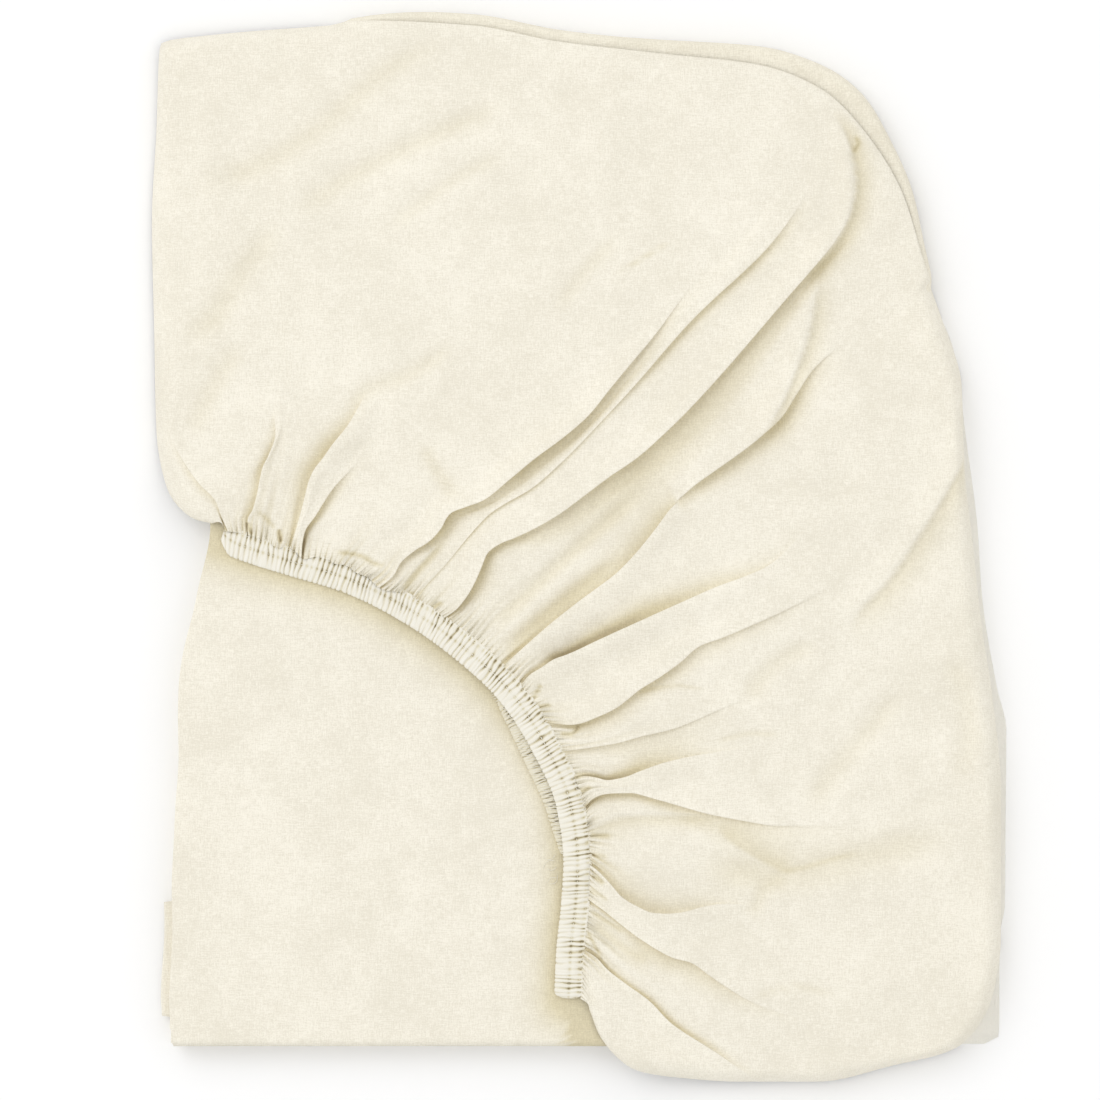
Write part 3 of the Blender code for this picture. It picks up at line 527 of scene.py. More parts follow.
def noise(x, y, seed):
    """Smooth noise from -1 to 1: random values on a unit grid, blended by smooth steps."""
    values = np.random.default_rng(seed).uniform(-1.0, 1.0, (257, 257))
    column, row = np.floor(x).astype(int), np.floor(y).astype(int)
    across, up = x - column, y - row
    across = across * across * (3 - 2 * across)
    up = up * up * (3 - 2 * up)
    column, row = column % 256, row % 256
    low = values[row, column] * (1 - across) + values[row, column + 1] * across
    high = values[row + 1, column] * (1 - across) + values[row + 1, column + 1] * across
    return low * (1 - up) + high * up


def uneven(x, y, swells):
    """The sum of some swells, each smooth noise of its own size."""
    return sum(row.height * noise(x / row.size + row.moved, y / row.size + row.moved, row.seed)
               for row in swells)


def spaced(count, weight, low, high):
    """Places from low to high, closer together where the weight is larger."""
    fine = np.linspace(low, high, 8001)
    total = np.concatenate(([0.0], np.cumsum((weight(fine[1:]) + weight(fine[:-1])) / 2)))
    return np.interp(np.linspace(0.0, total[-1], count), total, fine)


def line_weight(place):
    """Lines gather where a lip turns over."""
    weight = np.ones_like(place)
    for number, fold in enumerate(FOLDS):
        if fold.lies:
            weight += 4.0 * bell(place - number, LIP_BEFORE)
    return weight


def fold_relief(place, way, spacing):
    """Height of the fan's folds, their cloth's shift clockwise in millimetres, and their painted shade.

    On a lip's upper side the cloth rises by half a cosine to the edge. There it turns over and
    comes back beneath itself, through LIP_TURNS, to the lower side, which dips and recovers by
    a Gaussian. The painted shade starts at the edge and fades by the same Gaussian.
    """
    height = np.zeros_like(way)
    shift = np.zeros_like(way)
    shade = np.zeros_like(way)
    for number, fold in enumerate(FOLDS):
        if not fold.lies:
            continue
        lies = np.array(fold.lies, float)
        along = way * Path(fold.path).length
        lift, depth, width = np.moveaxis(smooth_values(lies[:, 0], lies[:, 1:], along), -1, 0)
        width = np.maximum(width, 0.5)
        side = np.where(lift < 0, -1.0, 1.0)
        tall = np.abs(lift) * smooth_step(-0.02, 0.03, way)
        part = (place - number) * side
        off = part * spacing
        turn = np.clip((part + LIP_BEFORE) / (LIP_BEFORE + LIP_AFTER), 0.0, 1.0)
        near, far, under, top = (smooth_values([row.at for row in LIP_TURNS],
                                               [getattr(row, name) for row in LIP_TURNS], turn)
                                 for name in ("near", "far", "under", "height"))
        moved = (far * LIP_AFTER - near * LIP_BEFORE) * spacing + under * tall
        inside = (part > -LIP_BEFORE) & (part < LIP_AFTER)
        moved = np.where(inside, off + (moved - off) * smooth_step(0.2, 1.4, tall), off)
        rise = np.minimum(LIP_RISE, 0.8 * spacing + 4.0)
        beyond = np.maximum(moved, 0.0)
        hollow = LIP_TROUGH * bell(beyond, width + 1.0)
        height += tall * (half_cosine(-moved / rise) * top - hollow * (1 - top))
        shift += side * (moved - off)
        # Painted shade in the hollow under the lip
        shade += depth * smooth_step(0.50, 0.62, turn) * bell(beyond, width)
    return height, shift, shade


def crease_relief(point):
    """Height and painted shade of the creases that cross the fan, from their signed distance and share."""
    height = np.zeros(point.shape[:-1])
    shade = np.zeros(point.shape[:-1])
    for crease in CREASES:
        path = Path(crease.path)
        step = crease.kind == "step"
        off, share = path.spread(point, STEP_RISE + 2 * crease.width if step else 3.2 * crease.width)
        ends = smooth_step(0.0, 0.2, share) * (1 - smooth_step(0.75, 1.0, share))
        if step:
            near = (off > -STEP_RISE) & (off < STEP_RISE + 2 * crease.width)
            left = half_cosine(-off / STEP_RISE)
            fall = smooth_step(-STEP_DROP / 2, STEP_DROP / 2, off)
            right = bell(np.maximum(off, 0.0), crease.width)
            height += near * crease.height * ends * (0.7 * left * (1 - fall) - 0.3 * right * fall)
            shade += near * crease.shade * ends * right * fall
        else:
            across = bell(off, crease.width)
            height -= crease.height * ends * across
            shade += crease.shade * ends * across
    return height, shade


def puff_relief(point):
    """Height of the puffs, each a Gaussian over its own oval."""
    height = np.zeros(point.shape[:-1])
    for puff in PUFFS:
        turn = math.radians(puff.turn)
        x, y = point[..., 0] - puff.x, point[..., 1] - puff.y
        down = (x * math.cos(turn) + y * math.sin(turn)) / puff.long
        across = (y * math.cos(turn) - x * math.sin(turn)) / puff.short
        height += puff.height * np.exp(-down ** 2 - across ** 2)
    return height


def crumple(x, y, size, seed):
    """Ridged noise: it falls by 2.6 times plain noise's size from ridges where that crosses zero."""
    return 1 - 2.6 * np.abs(noise(x / size + 70, y / size + 70, seed))


RIB_COUNT = 132
BAND_SEED = 41


def rib_count(travel, side, pitch, seed):
    """Ribs passed at a place along an elastic: a straight count that wanders and slants across."""
    slant = (0.45 * noise(travel / 23, 0.0, seed) + 0.2) * side
    drift = 0.40 * noise(travel / 5.3, 5.0, seed + 1)
    return travel / pitch + drift + slant + 0.22 * noise(travel / 2.3, 2 + 1.6 * side, seed + 2)


def pleat_relief(along, distance):
    """Small pleats that the elastic draws up: narrow dips that widen and fade with distance.

    Each pleat runs on from a slit of the elastic, with its own depth, length and slight bow.
    It is a Gaussian dip across, times an exponential fall along, with a low puff to each side, and painted
    shade in the dip.
    """
    random = np.random.default_rng(17)
    travel = np.linspace(0.0, ELASTIC.length, 6000)
    passed = rib_count(travel, 0.85, ELASTIC.length / RIB_COUNT, BAND_SEED)
    places = np.interp(np.arange(1.0, RIB_COUNT), np.maximum.accumulate(passed), travel)
    count = len(places)
    depths = random.uniform(0.3, 1.15, count) * PLEAT_DEPTH
    lengths = PLEAT_SHORT + random.exponential(PLEAT_LONG, count)
    bows = random.uniform(-0.05, 0.05, count)
    height = np.zeros_like(distance)
    shade = np.zeros_like(distance)
    for place, depth, length, bow in zip(places, depths, lengths, bows):
        near = np.abs(along - place) < PLEAT_REACH
        far = distance[near]
        off = along[near, None] - place - bow * far
        width = 0.42 + 0.028 * far
        fall = np.exp(-(far / length) ** 1.4)
        dip = bell(off, width)
        puff = bell(np.abs(off) - 1.9 * width, 1.1 * width)
        height[near] += depth * fall * (0.42 * puff - dip)
        shade[near] += PLEAT_SHADE * depth * fall * dip
    return height, shade


def ring_ways(lengths, roll):
    """The rings' ways: close together beside the elastic and over the turned-down rim."""
    rings = spaced(POCKET_RINGS, lambda s: 1 + 2.4 * np.exp(-s / 0.07), 0.0, 1.0)
    turned = np.clip(1.1 * roll / lengths, 0.04, 0.9)[:, None]
    return ways_with_rim(rings[None, :-RIM_RINGS] / rings[-RIM_RINGS], turned, RIM_RINGS)


def fan_spacing(place, way):
    """At each point, the distance from one fold to the next and the direction to it."""
    before, after = place - SPACING_STEP, place + SPACING_STEP
    across = along_lines(fan_lines(after), way) - along_lines(fan_lines(before), way)
    width = np.linalg.norm(across, axis=-1)
    count = np.minimum(after, len(FOLDS) - 1.0) - np.maximum(before, 0.0)
    return np.maximum(width / count[:, None], 0.5), across / np.maximum(width, 1e-6)[..., None]


def pocket_noise(place, flat, distance):
    """The cloth's soft swells, streaks along the fan and narrow crumples, added up."""
    x, y = flat[..., 0], flat[..., 1]
    soft = uneven(x, y, POCKET_SWELLS)
    streak = 0.45 * noise(place[:, None] * 2.6, distance / 42, 13)
    fine = 0.16 * noise(place[:, None] * 6.1, distance / 17, 15)
    crumpled = 0.30 * crumple(x, y, 34, 16) + 0.16 * crumple(x + 0.4 * y, y, 15, 17)
    return smooth_step(0.0, NOISE_START, distance) * (soft + streak + fine + crumpled)


def pocket_surface():
    """The gathered pocket: points, the flat place of each on the cloth, its painted shade and gathers.

    A fan of lines runs from the elastic to the rim. Each point's height is the smooth lie plus
    the folds, creases, pleats and a soft noise, brought down to the elastic at one end and
    rolled down over the rim at the other. The folds also carry it sideways along the ring.
    """
    place = spaced(POCKET_LINES, line_weight, 0.0, len(FOLDS) - 1.0)
    lines = fan_lines(place)
    lengths = line_lengths(lines)
    rim = rim_along(place)
    roll = ROLL_SHARE * RIM_PATH.column(RIM, "roll", rim)
    way = ring_ways(lengths, roll)
    flat = along_lines(lines, way)
    spacing, direction = fan_spacing(place, way)
    height, shift, shade = fold_relief(place[:, None], way, spacing)
    distance = way * lengths[:, None]
    inside = (1 - way) * lengths[:, None]
    crossing, dark = crease_relief(flat)
    kept = smooth_step(0.0, 3.0, inside)
    point = flat + direction * (shift * kept)[..., None]
    height += crossing + puff_relief(flat)
    shade += dark
    along = elastic_along(place)
    full = smooth_step(SHORT_LINE, LONG_LINE, lengths)[:, None]
    pleats, pleat_shade = pleat_relief(along, distance)
    height += full * (pleats + pocket_noise(place, flat, distance))
    shade += full * pleat_shade

    elastic_lie = elastic_base(along) + EDGE_HEIGHT + at_flaps("raise_by", along)
    climb = 1 - np.exp(-distance / OPENING_RISE)
    top = elastic_lie[:, None] + (smooth_lie(flat) - elastic_lie[:, None]) * climb + height
    least = np.where(distance < SECOND_FREE, PANEL_TOP, SECOND_LIE + CLOTH / 2) + POCKET_LIMIT
    under = least - top
    top = np.where(under > -1.0, least + np.exp(-np.clip(under + 1.0, 0.0, 8.0)), top)
    out = second_out(rim)
    over = rolled(out, SECOND_ROLL, SECOND_EDGE, SECOND_LIE) + SECOND_CLEAR
    edge = np.where(out > 0, over, RIM_PATH.column(RIM, "edge", rim))
    z = rolled(inside, roll[:, None], edge[:, None], top)
    cloth = flat + RIM_PATH.outward(rim)[:, None] * (top - z)[..., None]
    return raised(point, z), cloth, shade * kept, together(along[:, None], distance)


FAR_OFF = 200.0             # a distance from the elastic at which no gathers are left
SECOND_LINES = 260
SECOND_FROM, SECOND_TO = 2.0, 20.0      # its share of the fan, in folds
SECOND_START = 0.14         # way from the elastic at which it starts, under the first pocket
SECOND_RINGS = 26
SECOND_RIM_RINGS = 12
# An even painted shade over the second pocket, which lies under the first
SECOND_SHADE = 0.10


def second_surface():
    """The second pocket: a smooth coarse fan under the first, pushed out where it shows.

    It is level up to a soft shoulder, and a cosine along the rim ripples it there.
    """
    place = np.linspace(SECOND_FROM, SECOND_TO, SECOND_LINES)
    lines = fan_lines(place)
    lengths = line_lengths(lines)
    rim = rim_along(place)
    level = np.linspace(SECOND_START, 1.0, SECOND_RINGS)[None, :-1]
    turned = np.clip(SECOND_ROLL / lengths, 0.005, 0.5)[:, None]
    way = ways_with_rim(level, turned, SECOND_RIM_RINGS)
    inside = (1 - way) * lengths[:, None]
    flat = along_lines(lines, way)
    push = second_out(rim)[:, None] * (1 - smooth_step(SECOND_ROLL, 30.0, inside))
    point = flat + RIM_PATH.outward(rim)[:, None, :] * push[..., None]
    z = rolled(inside, SECOND_ROLL, SECOND_EDGE, SECOND_LIE)
    ripple = 0.16 * np.cos(rim / 7.0)[:, None] * smooth_step(14.0, 2.0, inside)
    shade = np.full_like(way, SECOND_SHADE)
    gather = together(rim[:, None], np.full_like(way, FAR_OFF))
    cloth = flat + RIM_PATH.outward(rim)[:, None] * (SECOND_LIE - z)[..., None]
    return raised(point, z + ripple), cloth, shade, gather


# The packet's outline, front to back, and how far each of its folds stays back
Station = namedtuple("Station", "y left right low_right")
STATIONS = (
    Station(-214, -175, 138, 175), Station(-211, -175, 149, 181), Station(-202, -175, 158, 181.5),
    Station(-193, -175.5, 165, 181.5), Station(-167, -174.5, 172, 181.8), Station(-154, -174.5, 174, 183.9),
    Station(-120, -173, 174, 184.2), Station(-78, -171.5, 171.5, 184.5), Station(-60, -171, 170, 180.5),
    Station(-20, -164, 163, 174), Station(10, -158, 161, 172), Station(45, -167, 158, 167.5),
    Station(85, -169, 152, 162), Station(120, -169, 140, 146), Station(155, -171, 128, 133),
    Station(180, -172, 110, 114), Station(196, -172, 90, 93), Station(204, -172, 56, 58),
)
LEFT_FOLDS = (0.6, 1.8, 0.4, 1.4, 0.0)
RIGHT_FOLDS = (0.6, 2.0, 1.0, 2.4, 1.6)
FRONT_EDGES = (0.0, 1.2, 0.5, 2.0, 1.0, 0.2, 1.5, 0.7, 1.6, 0.3)
TAB_FOLD = 1
TAB_OUT = 6.0
TAB_FROM, TAB_TO = -202.0, -152.0
TAB_TURN = 0.9
PACKET_ROWS = 150
BAND_SHADE = 0.54           # painted shade of the panel right beside the elastic
BAND_SHADE_WIDTH = 8.0
BAND_SHADE_REACH = 40.0
LOW_LAYER_PAINTED_LIGHT = 0.8              # painted light on the lowest layers, beside the pocket's right rim
PAINTED_LIGHT_FROM = 100.0
EDGE_BLEND = 12.0           # how far in from the front and back each layer's own edge is felt
ROW_GAP = 0.7
TOP_COLUMNS = 120
LAYER_COLUMNS = 9
LAYER_SHIFT = 2.0           # of the cloth's pattern from one layer to the next
BEND_COLUMNS = 5


def packet_surface():
    """The flat layers: one strip that runs back and forth, lofted from front to back.

    Each layer is level at its own height and joined to the next by half a circle at its fold.
    A soft unevenness, in proportion to the height, moves all layers alike, so none meet.
    """
    marks = [row.y for row in STATIONS]
    fixed = np.array(marks + [TAB_FROM + TAB_TURN, TAB_TO - TAB_TURN, TAB_TO])
    even = np.linspace(marks[0], marks[-1], PACKET_ROWS)
    even = even[np.abs(even[:, None] - fixed).min(axis=1) > ROW_GAP]
    y = np.sort(np.concatenate([fixed, even]))
    left, right, low_right = (smooth_values(marks, [getattr(row, side) for row in STATIONS], y)
                              for side in ("left", "right", "low_right"))
    tab = smooth_step(TAB_FROM, TAB_FROM + TAB_TURN, y) * smooth_step(TAB_TO, TAB_TO - TAB_TURN, y)
    strip, cloth = [], []
    for layer in range(LAYERS):
        heads_left = layer % 2 == 0
        fold = layer // 2
        low = left + LEFT_FOLDS[fold] - (TAB_OUT * tab if fold == TAB_FOLD else 0.0)
        low = low + 0.5 * noise(y / 23 + 9, 3.0 * fold, 21)
        high = low_right if layer == 0 else right - RIGHT_FOLDS[(layer + 1) // 2 - 1]
        start, end = (high, low) if heads_left else (low, high)
        share = np.linspace(0.0, 1.0, TOP_COLUMNS if layer == LAYERS - 1 else LAYER_COLUMNS)
        x = start[:, None] + (end - start)[:, None] * share[None, :]
        z = CLOTH / 2 + layer * PITCH
        front = FRONT_EDGES[layer] * smooth_step(marks[0] + EDGE_BLEND, marks[0], y)
        back = FRONT_EDGES[LAYERS - 1 - layer] * smooth_step(marks[-1] - EDGE_BLEND, marks[-1], y)
        deep = (y + front - back)[:, None]
        strip.append(together(x, deep, z))
        cloth.append(together(x + LAYER_SHIFT * layer, deep))
        if layer < LAYERS - 1:
            way = -1 if heads_left else 1
            turn = math.pi * np.arange(1, BEND_COLUMNS)[None, :] / BEND_COLUMNS
            bend_x = end[:, None] + way * np.sin(turn) * PITCH / 2
            strip.append(together(bend_x, deep, z + (1 - np.cos(turn)) * PITCH / 2))
            cloth.append(together(bend_x + LAYER_SHIFT * (layer + turn / math.pi), deep))
    points = np.concatenate(strip, axis=1)
    x, y, z = points[..., 0], points[..., 1], points[..., 2]
    points[..., 2] = z + (z - CLOTH / 2) / PANEL_TOP * uneven(x, y, LAYER_SWELLS)
    # Painted shade beside the elastic on the top layer, painted light on the lowest layers at the right
    shade = band_shade(points[..., :2]) * (z > PANEL_TOP - PITCH)
    shade = shade - LOW_LAYER_PAINTED_LIGHT * (z < 2 * PITCH) * (x > PAINTED_LIGHT_FROM)
    return points, np.concatenate(cloth, axis=1), shade, together(x, FAR_OFF)


def band_shade(point):
    """Painted shade of the panel beside the elastic, which falls off from the elastic's free edge.

    The fall is an exponential of the distance to the power of one and a half.
    """
    off = ELASTIC.spread(point, BAND_SHADE_REACH)[0]
    beside = np.maximum(off - ELASTIC_WIDTH / 2, 0.0)
    near = np.abs(off) < BAND_SHADE_REACH
    return BAND_SHADE * np.exp(-(beside / BAND_SHADE_WIDTH) ** 1.5) * near


RIB_SAMPLES = 13
SECTION_COLUMNS = 36
INNER_ROW = 0.0             # needle rows, from the band's middle towards the cloth
OUTER_ROW = 4.4
ROW_WIDTH = 0.6             # of the groove that a needle row presses
ROW_DEPTH = 0.5
DOT_WIDTH = 0.55            # of the spot of painted shade at a needle hole
END_ROUND = 3.0
RIB_NOTCH = 0.35            # depth of a slit's notch in the band's outline
RIB_CROWN = 0.25            # how far the ribs stand over the plain oval
BAND_UNEVEN = 0.22
SLIT_WIDTH = 0.34           # between two ribs of the gathered casing
SLIT_DEEP = 1.0             # beside the needle rows
SLIT_SHALLOW = 0.55         # at the free edge
# Painted shade in the slits between the ribs
SLIT_SHADE = 0.50
DOT_SHADE = 1.1             # painted shade at the needle holes


def band_rings(centre, outward, base, along, width, height, ribs, rows, seed, shade):
    """An elastic: a flattened oval carried along a path, gathered across into uneven ribs.

    Between two ribs lies a slanted slit, a Gaussian dip that is deep beside the needle rows
    and soft at the free edge. Each needle row presses a groove. The band narrows to a point at
    its start and closes in by a quarter of a circle at its end.
    """
    length = along[-1] - along[0]
    turn = np.linspace(0.0, 2 * math.pi, SECTION_COLUMNS, endpoint=False)[None, :]
    side = np.cos(turn)
    up = np.sign(np.sin(turn)) * np.abs(np.sin(turn)) ** 0.5
    travel = along[:, None] - along[0]
    pitch = length / ribs
    count = rib_count(travel, side, pitch, seed)
    from_slit = ((count + 0.5) % 1.0 - 0.5) * pitch
    slit = bell(from_slit, SLIT_WIDTH)
    strength = np.clip(0.75 + 0.75 * noise(count / 1.3, 8 + 0.9 * side, seed + 3), 0.1, 1.5)
    half = width / 2 - RIB_NOTCH * slit * strength
    across = side * half
    crown = height * (0.5 + 0.5 * up)
    top = np.clip(up, 0.0, 1.0) ** 0.7
    sewn = smooth_step(-0.42 * width, -0.02 * width, across)
    deep = SLIT_SHALLOW + (SLIT_DEEP - SLIT_SHALLOW) * sewn
    body = crown + top * (RIB_CROWN - deep * slit * strength)
    # Painted shade in the slits, stronger beside the needle rows, and at the needle holes
    dark = shade + SLIT_SHADE * slit * strength * (0.5 + 0.5 * sewn)
    for place in rows:
        row = bell(across - place, ROW_WIDTH)
        dot = bell(from_slit, DOT_WIDTH) * np.clip(strength, 0.5, 1.0)
        body = body - top * ROW_DEPTH * row
        dark = dark + DOT_SHADE * row * dot
    body = body + top * BAND_UNEVEN * noise(travel / 9, 1 + side, seed + 4)
    close = np.sqrt(1 - (1 - np.clip((length - travel) / END_ROUND, 0.02, 1.0)) ** 2)
    point = smooth_step(-6.0, 7.0, travel)
    across = across * (0.25 + 0.75 * close) * point + (1 - point) * width * 0.24
    body = height / 2 + (body - height / 2) * (0.2 + 0.8 * close * point)
    x = centre[:, None, 0] + outward[:, None, 0] * across
    y = centre[:, None, 1] + outward[:, None, 1] * across
    return together(x, y, base[:, None] + body), together(travel, across), dark


def front_band():
    along = np.linspace(0.0, ELASTIC.length, RIB_SAMPLES * RIB_COUNT + 1)
    return band_rings(ELASTIC.at(along), ELASTIC.outward(along), elastic_base(along), along,
                      ELASTIC_WIDTH, ELASTIC_HEIGHT - 0.1, RIB_COUNT, (INNER_ROW, OUTER_ROW), BAND_SEED, 0.0)


UNDER_RIBS = 42


def under_route(share):
    """Middle of the second pocket's elastic, its outward direction and distance along."""
    shares = [row.share for row in UNDER_ROUTE]
    along = share * ELASTIC.length
    out = smooth_values(shares, [row.out for row in UNDER_ROUTE], share)
    outward = ELASTIC.outward(along)
    return ELASTIC.at(along) - outward * out[:, None], outward, along


def under_band():
    share = np.linspace(UNDER_ROUTE[0].share, UNDER_ROUTE[-1].share, RIB_SAMPLES * UNDER_RIBS + 1)
    centre, outward, along = under_route(share)
    base = np.full_like(along, ELASTIC_BASE)
    # This elastic lies under the front one, so it gets an even painted shade of 0.3
    return band_rings(centre, outward, base, along, UNDER_WIDTH, UNDER_HEIGHT - 0.1, UNDER_RIBS, (), 51, 0.3)


def ring_faces(number):
    """Faces between each ring of point numbers and the next, all round."""
    after = np.roll(number, -1, axis=-1)
    corners = (number[..., :-1, :], after[..., :-1, :], after[..., 1:, :], number[..., 1:, :])
    return np.stack(corners, axis=-1).reshape(-1, 4)


def strand_mesh(paths, radius, sides=6):
    """Many short threads as one mesh: a round section carried along each path, ends closed in.

    paths is an array of strands, points and coordinates. The section lies across each
    strand's run, and its radius follows half an oval, so that both ends are blunt points.
    """
    count, steps = paths.shape[:2]
    run = np.gradient(paths, axis=1)
    run /= np.linalg.norm(run, axis=-1, keepdims=True)
    side = np.cross(run, np.array((0.0, 0.0, 1.0)))
    side /= np.maximum(np.linalg.norm(side, axis=-1, keepdims=True), 1e-9)
    above = np.cross(side, run)
    share = np.linspace(0.0, 1.0, steps)
    taper = np.clip(1 - np.abs(2 * share - 1) ** 4, 0.12, 1.0) ** 0.5
    turn = np.linspace(0.0, 2 * math.pi, sides, endpoint=False)
    ring = side[:, :, None] * np.cos(turn)[:, None] + above[:, :, None] * np.sin(turn)[:, None]
    points = paths[:, :, None] + radius * taper[:, None, None] * ring
    number = np.arange(count * steps * sides).reshape(count, steps, sides)
    caps = np.concatenate([number[:, 0, ::-1], number[:, -1]])
    return points.reshape(-1, 3), ring_faces(number), caps


STITCH_PITCH = 2.6
STITCH_SHARE = 0.72         # of the pitch, that the thread shows between two holes
STITCH_HEIGHT = 2.34
STITCH_RADIUS = 0.19
STITCH_ROWS = ((INNER_ROW, 61, 0.0), (OUTER_ROW, 62, 0.3))      # place, seed and drop


def stitch_paths():
    """Thread lying between the needle holes of both rows, sunk at each end of a stitch."""
    strands = []
    for row, seed, drop in STITCH_ROWS:
        count = int(ELASTIC.length / STITCH_PITCH) - 1
        chance = np.random.default_rng(seed).uniform(-0.12, 0.12, (2, count))
        start = (np.arange(count) + STITCH_SHARE) * STITCH_PITCH + chance[0]
        share = np.linspace(0.0, 1.0, 6)[None, :]
        along = start[:, None] + STITCH_SHARE * STITCH_PITCH * share
        place = row + chance[1][:, None] + 0.06 * np.sin(share * math.pi)
        point = ELASTIC.at(along) + ELASTIC.outward(along) * place[..., None]
        z = elastic_base(along) + STITCH_HEIGHT - drop - 0.55 * (2 * share - 1) ** 4
        strands.append(raised(point, z))
    return np.concatenate(strands)


OVERLOCK_PITCH = 1.15
OVERLOCK_RADIUS = 0.17


def overlock_paths():
    """Short slanted threads over the second elastic's free edge, one after the other."""
    length = (UNDER_ROUTE[-1].share - UNDER_ROUTE[0].share) * ELASTIC.length
    count = int(length / OVERLOCK_PITCH)
    random = np.random.default_rng(71)
    share = np.linspace(UNDER_ROUTE[0].share, UNDER_ROUTE[-1].share, count)
    centre, outward = under_route(share)[:2]
    run = together(outward[:, 1], -outward[:, 0])
    way = np.linspace(-1.0, 1.0, 7)[None, :]
    lean = random.uniform(0.5, 1.1, (count, 1))
    across = -0.12 * UNDER_WIDTH + 0.40 * UNDER_WIDTH * way + random.uniform(-0.3, 0.3, (count, 1))
    shift = lean * way
    point = centre[:, None] + outward[:, None] * across[..., None] + run[:, None] * shift[..., None]
    edge = np.abs(across) / (UNDER_WIDTH / 2)
    z = ELASTIC_BASE + 0.55 + (UNDER_HEIGHT - 0.35) * np.sqrt(np.clip(1 - edge ** 2.6, 0.02, 1.0))
    return raised(point, z)


Fray = namedtuple("Fray", "x y turn reach bend")
FRAYS = (
    Fray(-10.5, -131.0, 200, 5.5, 1.6), Fray(-10.2, -134.0, 215, 7.0, -2.0),
    Fray(-10.0, -136.5, 190, 4.5, 1.2), Fray(-10.0, -139.0, 232, 6.5, 2.4),
    Fray(-9.6, -141.5, 205, 5.0, -1.4),
)
FRAY_RADIUS = 0.11


def fray_paths():
    """Loose thread ends beside the elastic: each a short bow that lies on the panel."""
    share = np.linspace(0.0, 1.0, 7)
    strands = []
    for fray in FRAYS:
        angle = math.radians(fray.turn)
        run = np.array((math.cos(angle), math.sin(angle)))
        side = np.array((-run[1], run[0]))
        flat = np.array((fray.x, fray.y)) + share[:, None] * fray.reach * run
        flat = flat + (fray.bend * np.sin(share * math.pi))[:, None] * side
        z = PANEL_TOP + 0.65 + 0.9 * (1 - share) ** 2
        strands.append(raised(flat, z))
    return np.array(strands)


# Meshes

CLOTH_MAP = "cloth_lie"
GATHER_MAP = "gathers"
# The mesh attribute with painted shade, and painted light where it is below zero
PAINTED_SHADE_AND_LIGHT = "hollow"


def packed(values):
    """Values as the flat row of short floats that foreach_set takes."""
    return np.asarray(values, np.float32).ravel()


def filled_mesh(name, points, faces, corners_uv=None):
    """A mesh object from points in millimetres and lists of faces, put in as whole arrays."""
    mesh = bpy.data.meshes.new(name)
    corners = np.concatenate([np.asarray(part).reshape(-1) for part in faces])
    sizes = np.concatenate([np.full(len(part), part.shape[1]) for part in faces])
    mesh.vertices.add(len(points))
    mesh.vertices.foreach_set("co", packed(points * MM))
    mesh.loops.add(len(corners))
    mesh.loops.foreach_set("vertex_index", corners.astype(np.int32))
    mesh.polygons.add(len(sizes))
    mesh.polygons.foreach_set("loop_start", np.concatenate(([0], np.cumsum(sizes)[:-1])).astype(np.int32))
    mesh.update(calc_edges=True)
    mesh.validate()
    mesh.shade_smooth()
    if corners_uv is not None:
        layer = mesh.uv_layers.new(name=CLOTH_MAP)
        layer.uv.foreach_set("vector", packed(corners_uv * MM))
    thing = bpy.data.objects.new(name, mesh)
    bpy.context.scene.collection.objects.link(thing)
    return thing


def surface_object(name, grid, cloth, shade, gather):
    """An open surface through a grid of points, with the cloth's lie, painted shade and gathers."""
    rows, columns = grid.shape[:2]
    number = np.arange(rows * columns).reshape(rows, columns)
    faces = np.stack([number[:-1, :-1], number[1:, :-1], number[1:, 1:], number[:-1, 1:]], axis=-1)
    faces = faces.reshape(-1, 4)
    lie = cloth.reshape(-1, 2)[faces.ravel()]
    thing = filled_mesh(name, grid.reshape(-1, 3), [faces], lie)
    beside = thing.data.uv_layers.new(name=GATHER_MAP)
    beside.uv.foreach_set("vector", packed(gather.reshape(-1, 2)[faces.ravel()] * MM))
    shaded(thing, shade)
    return thing


def shaded(thing, shade):
    """Keeps each point's painted shade, and painted light below zero, as an attribute that the material
    reads.
    """
    layer = thing.data.attributes.new(PAINTED_SHADE_AND_LIGHT, "FLOAT", "POINT")
    layer.data.foreach_set("value", packed(np.clip(shade, -1.0, 1.0)))


def tube_object(name, rings, cloth, shade):
    """A closed tube through rings of points, capped at both ends."""
    rows, columns = rings.shape[:2]
    number = np.arange(rows * columns).reshape(rows, columns)
    walls = ring_faces(number)
    caps = np.stack([number[0, ::-1], number[-1]])
    lie = cloth.reshape(-1, 2)
    corners = np.concatenate([lie[walls.ravel()], lie[caps.ravel()]])
    thing = filled_mesh(name, rings.reshape(-1, 3), [walls, caps], corners)
    shaded(thing, shade)
    return outward_facing(thing)


def strands_object(name, paths, radius):
    points, walls, caps = strand_mesh(paths, radius)
    return outward_facing(filled_mesh(name, points, [walls, caps]))


def outward_facing(thing):
    """Turns a closed mesh's faces outwards."""
    work = bmesh.new()
    work.from_mesh(thing.data)
    bmesh.ops.recalc_face_normals(work, faces=work.faces)
    work.to_mesh(thing.data)
    work.free()
    return thing


def thicken(thing, even):
    """Gives the cloth its thickness, half to each side, kept even round its bends if asked."""
    solid = thing.modifiers.new("Cloth", "SOLIDIFY")
    solid.thickness = CLOTH * MM
    solid.offset = 0.0
    solid.use_even_offset = even


def dressed(thing, finish):
    thing.data.materials.append(finish)
    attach(thing, "root")
    return thing


# Materials

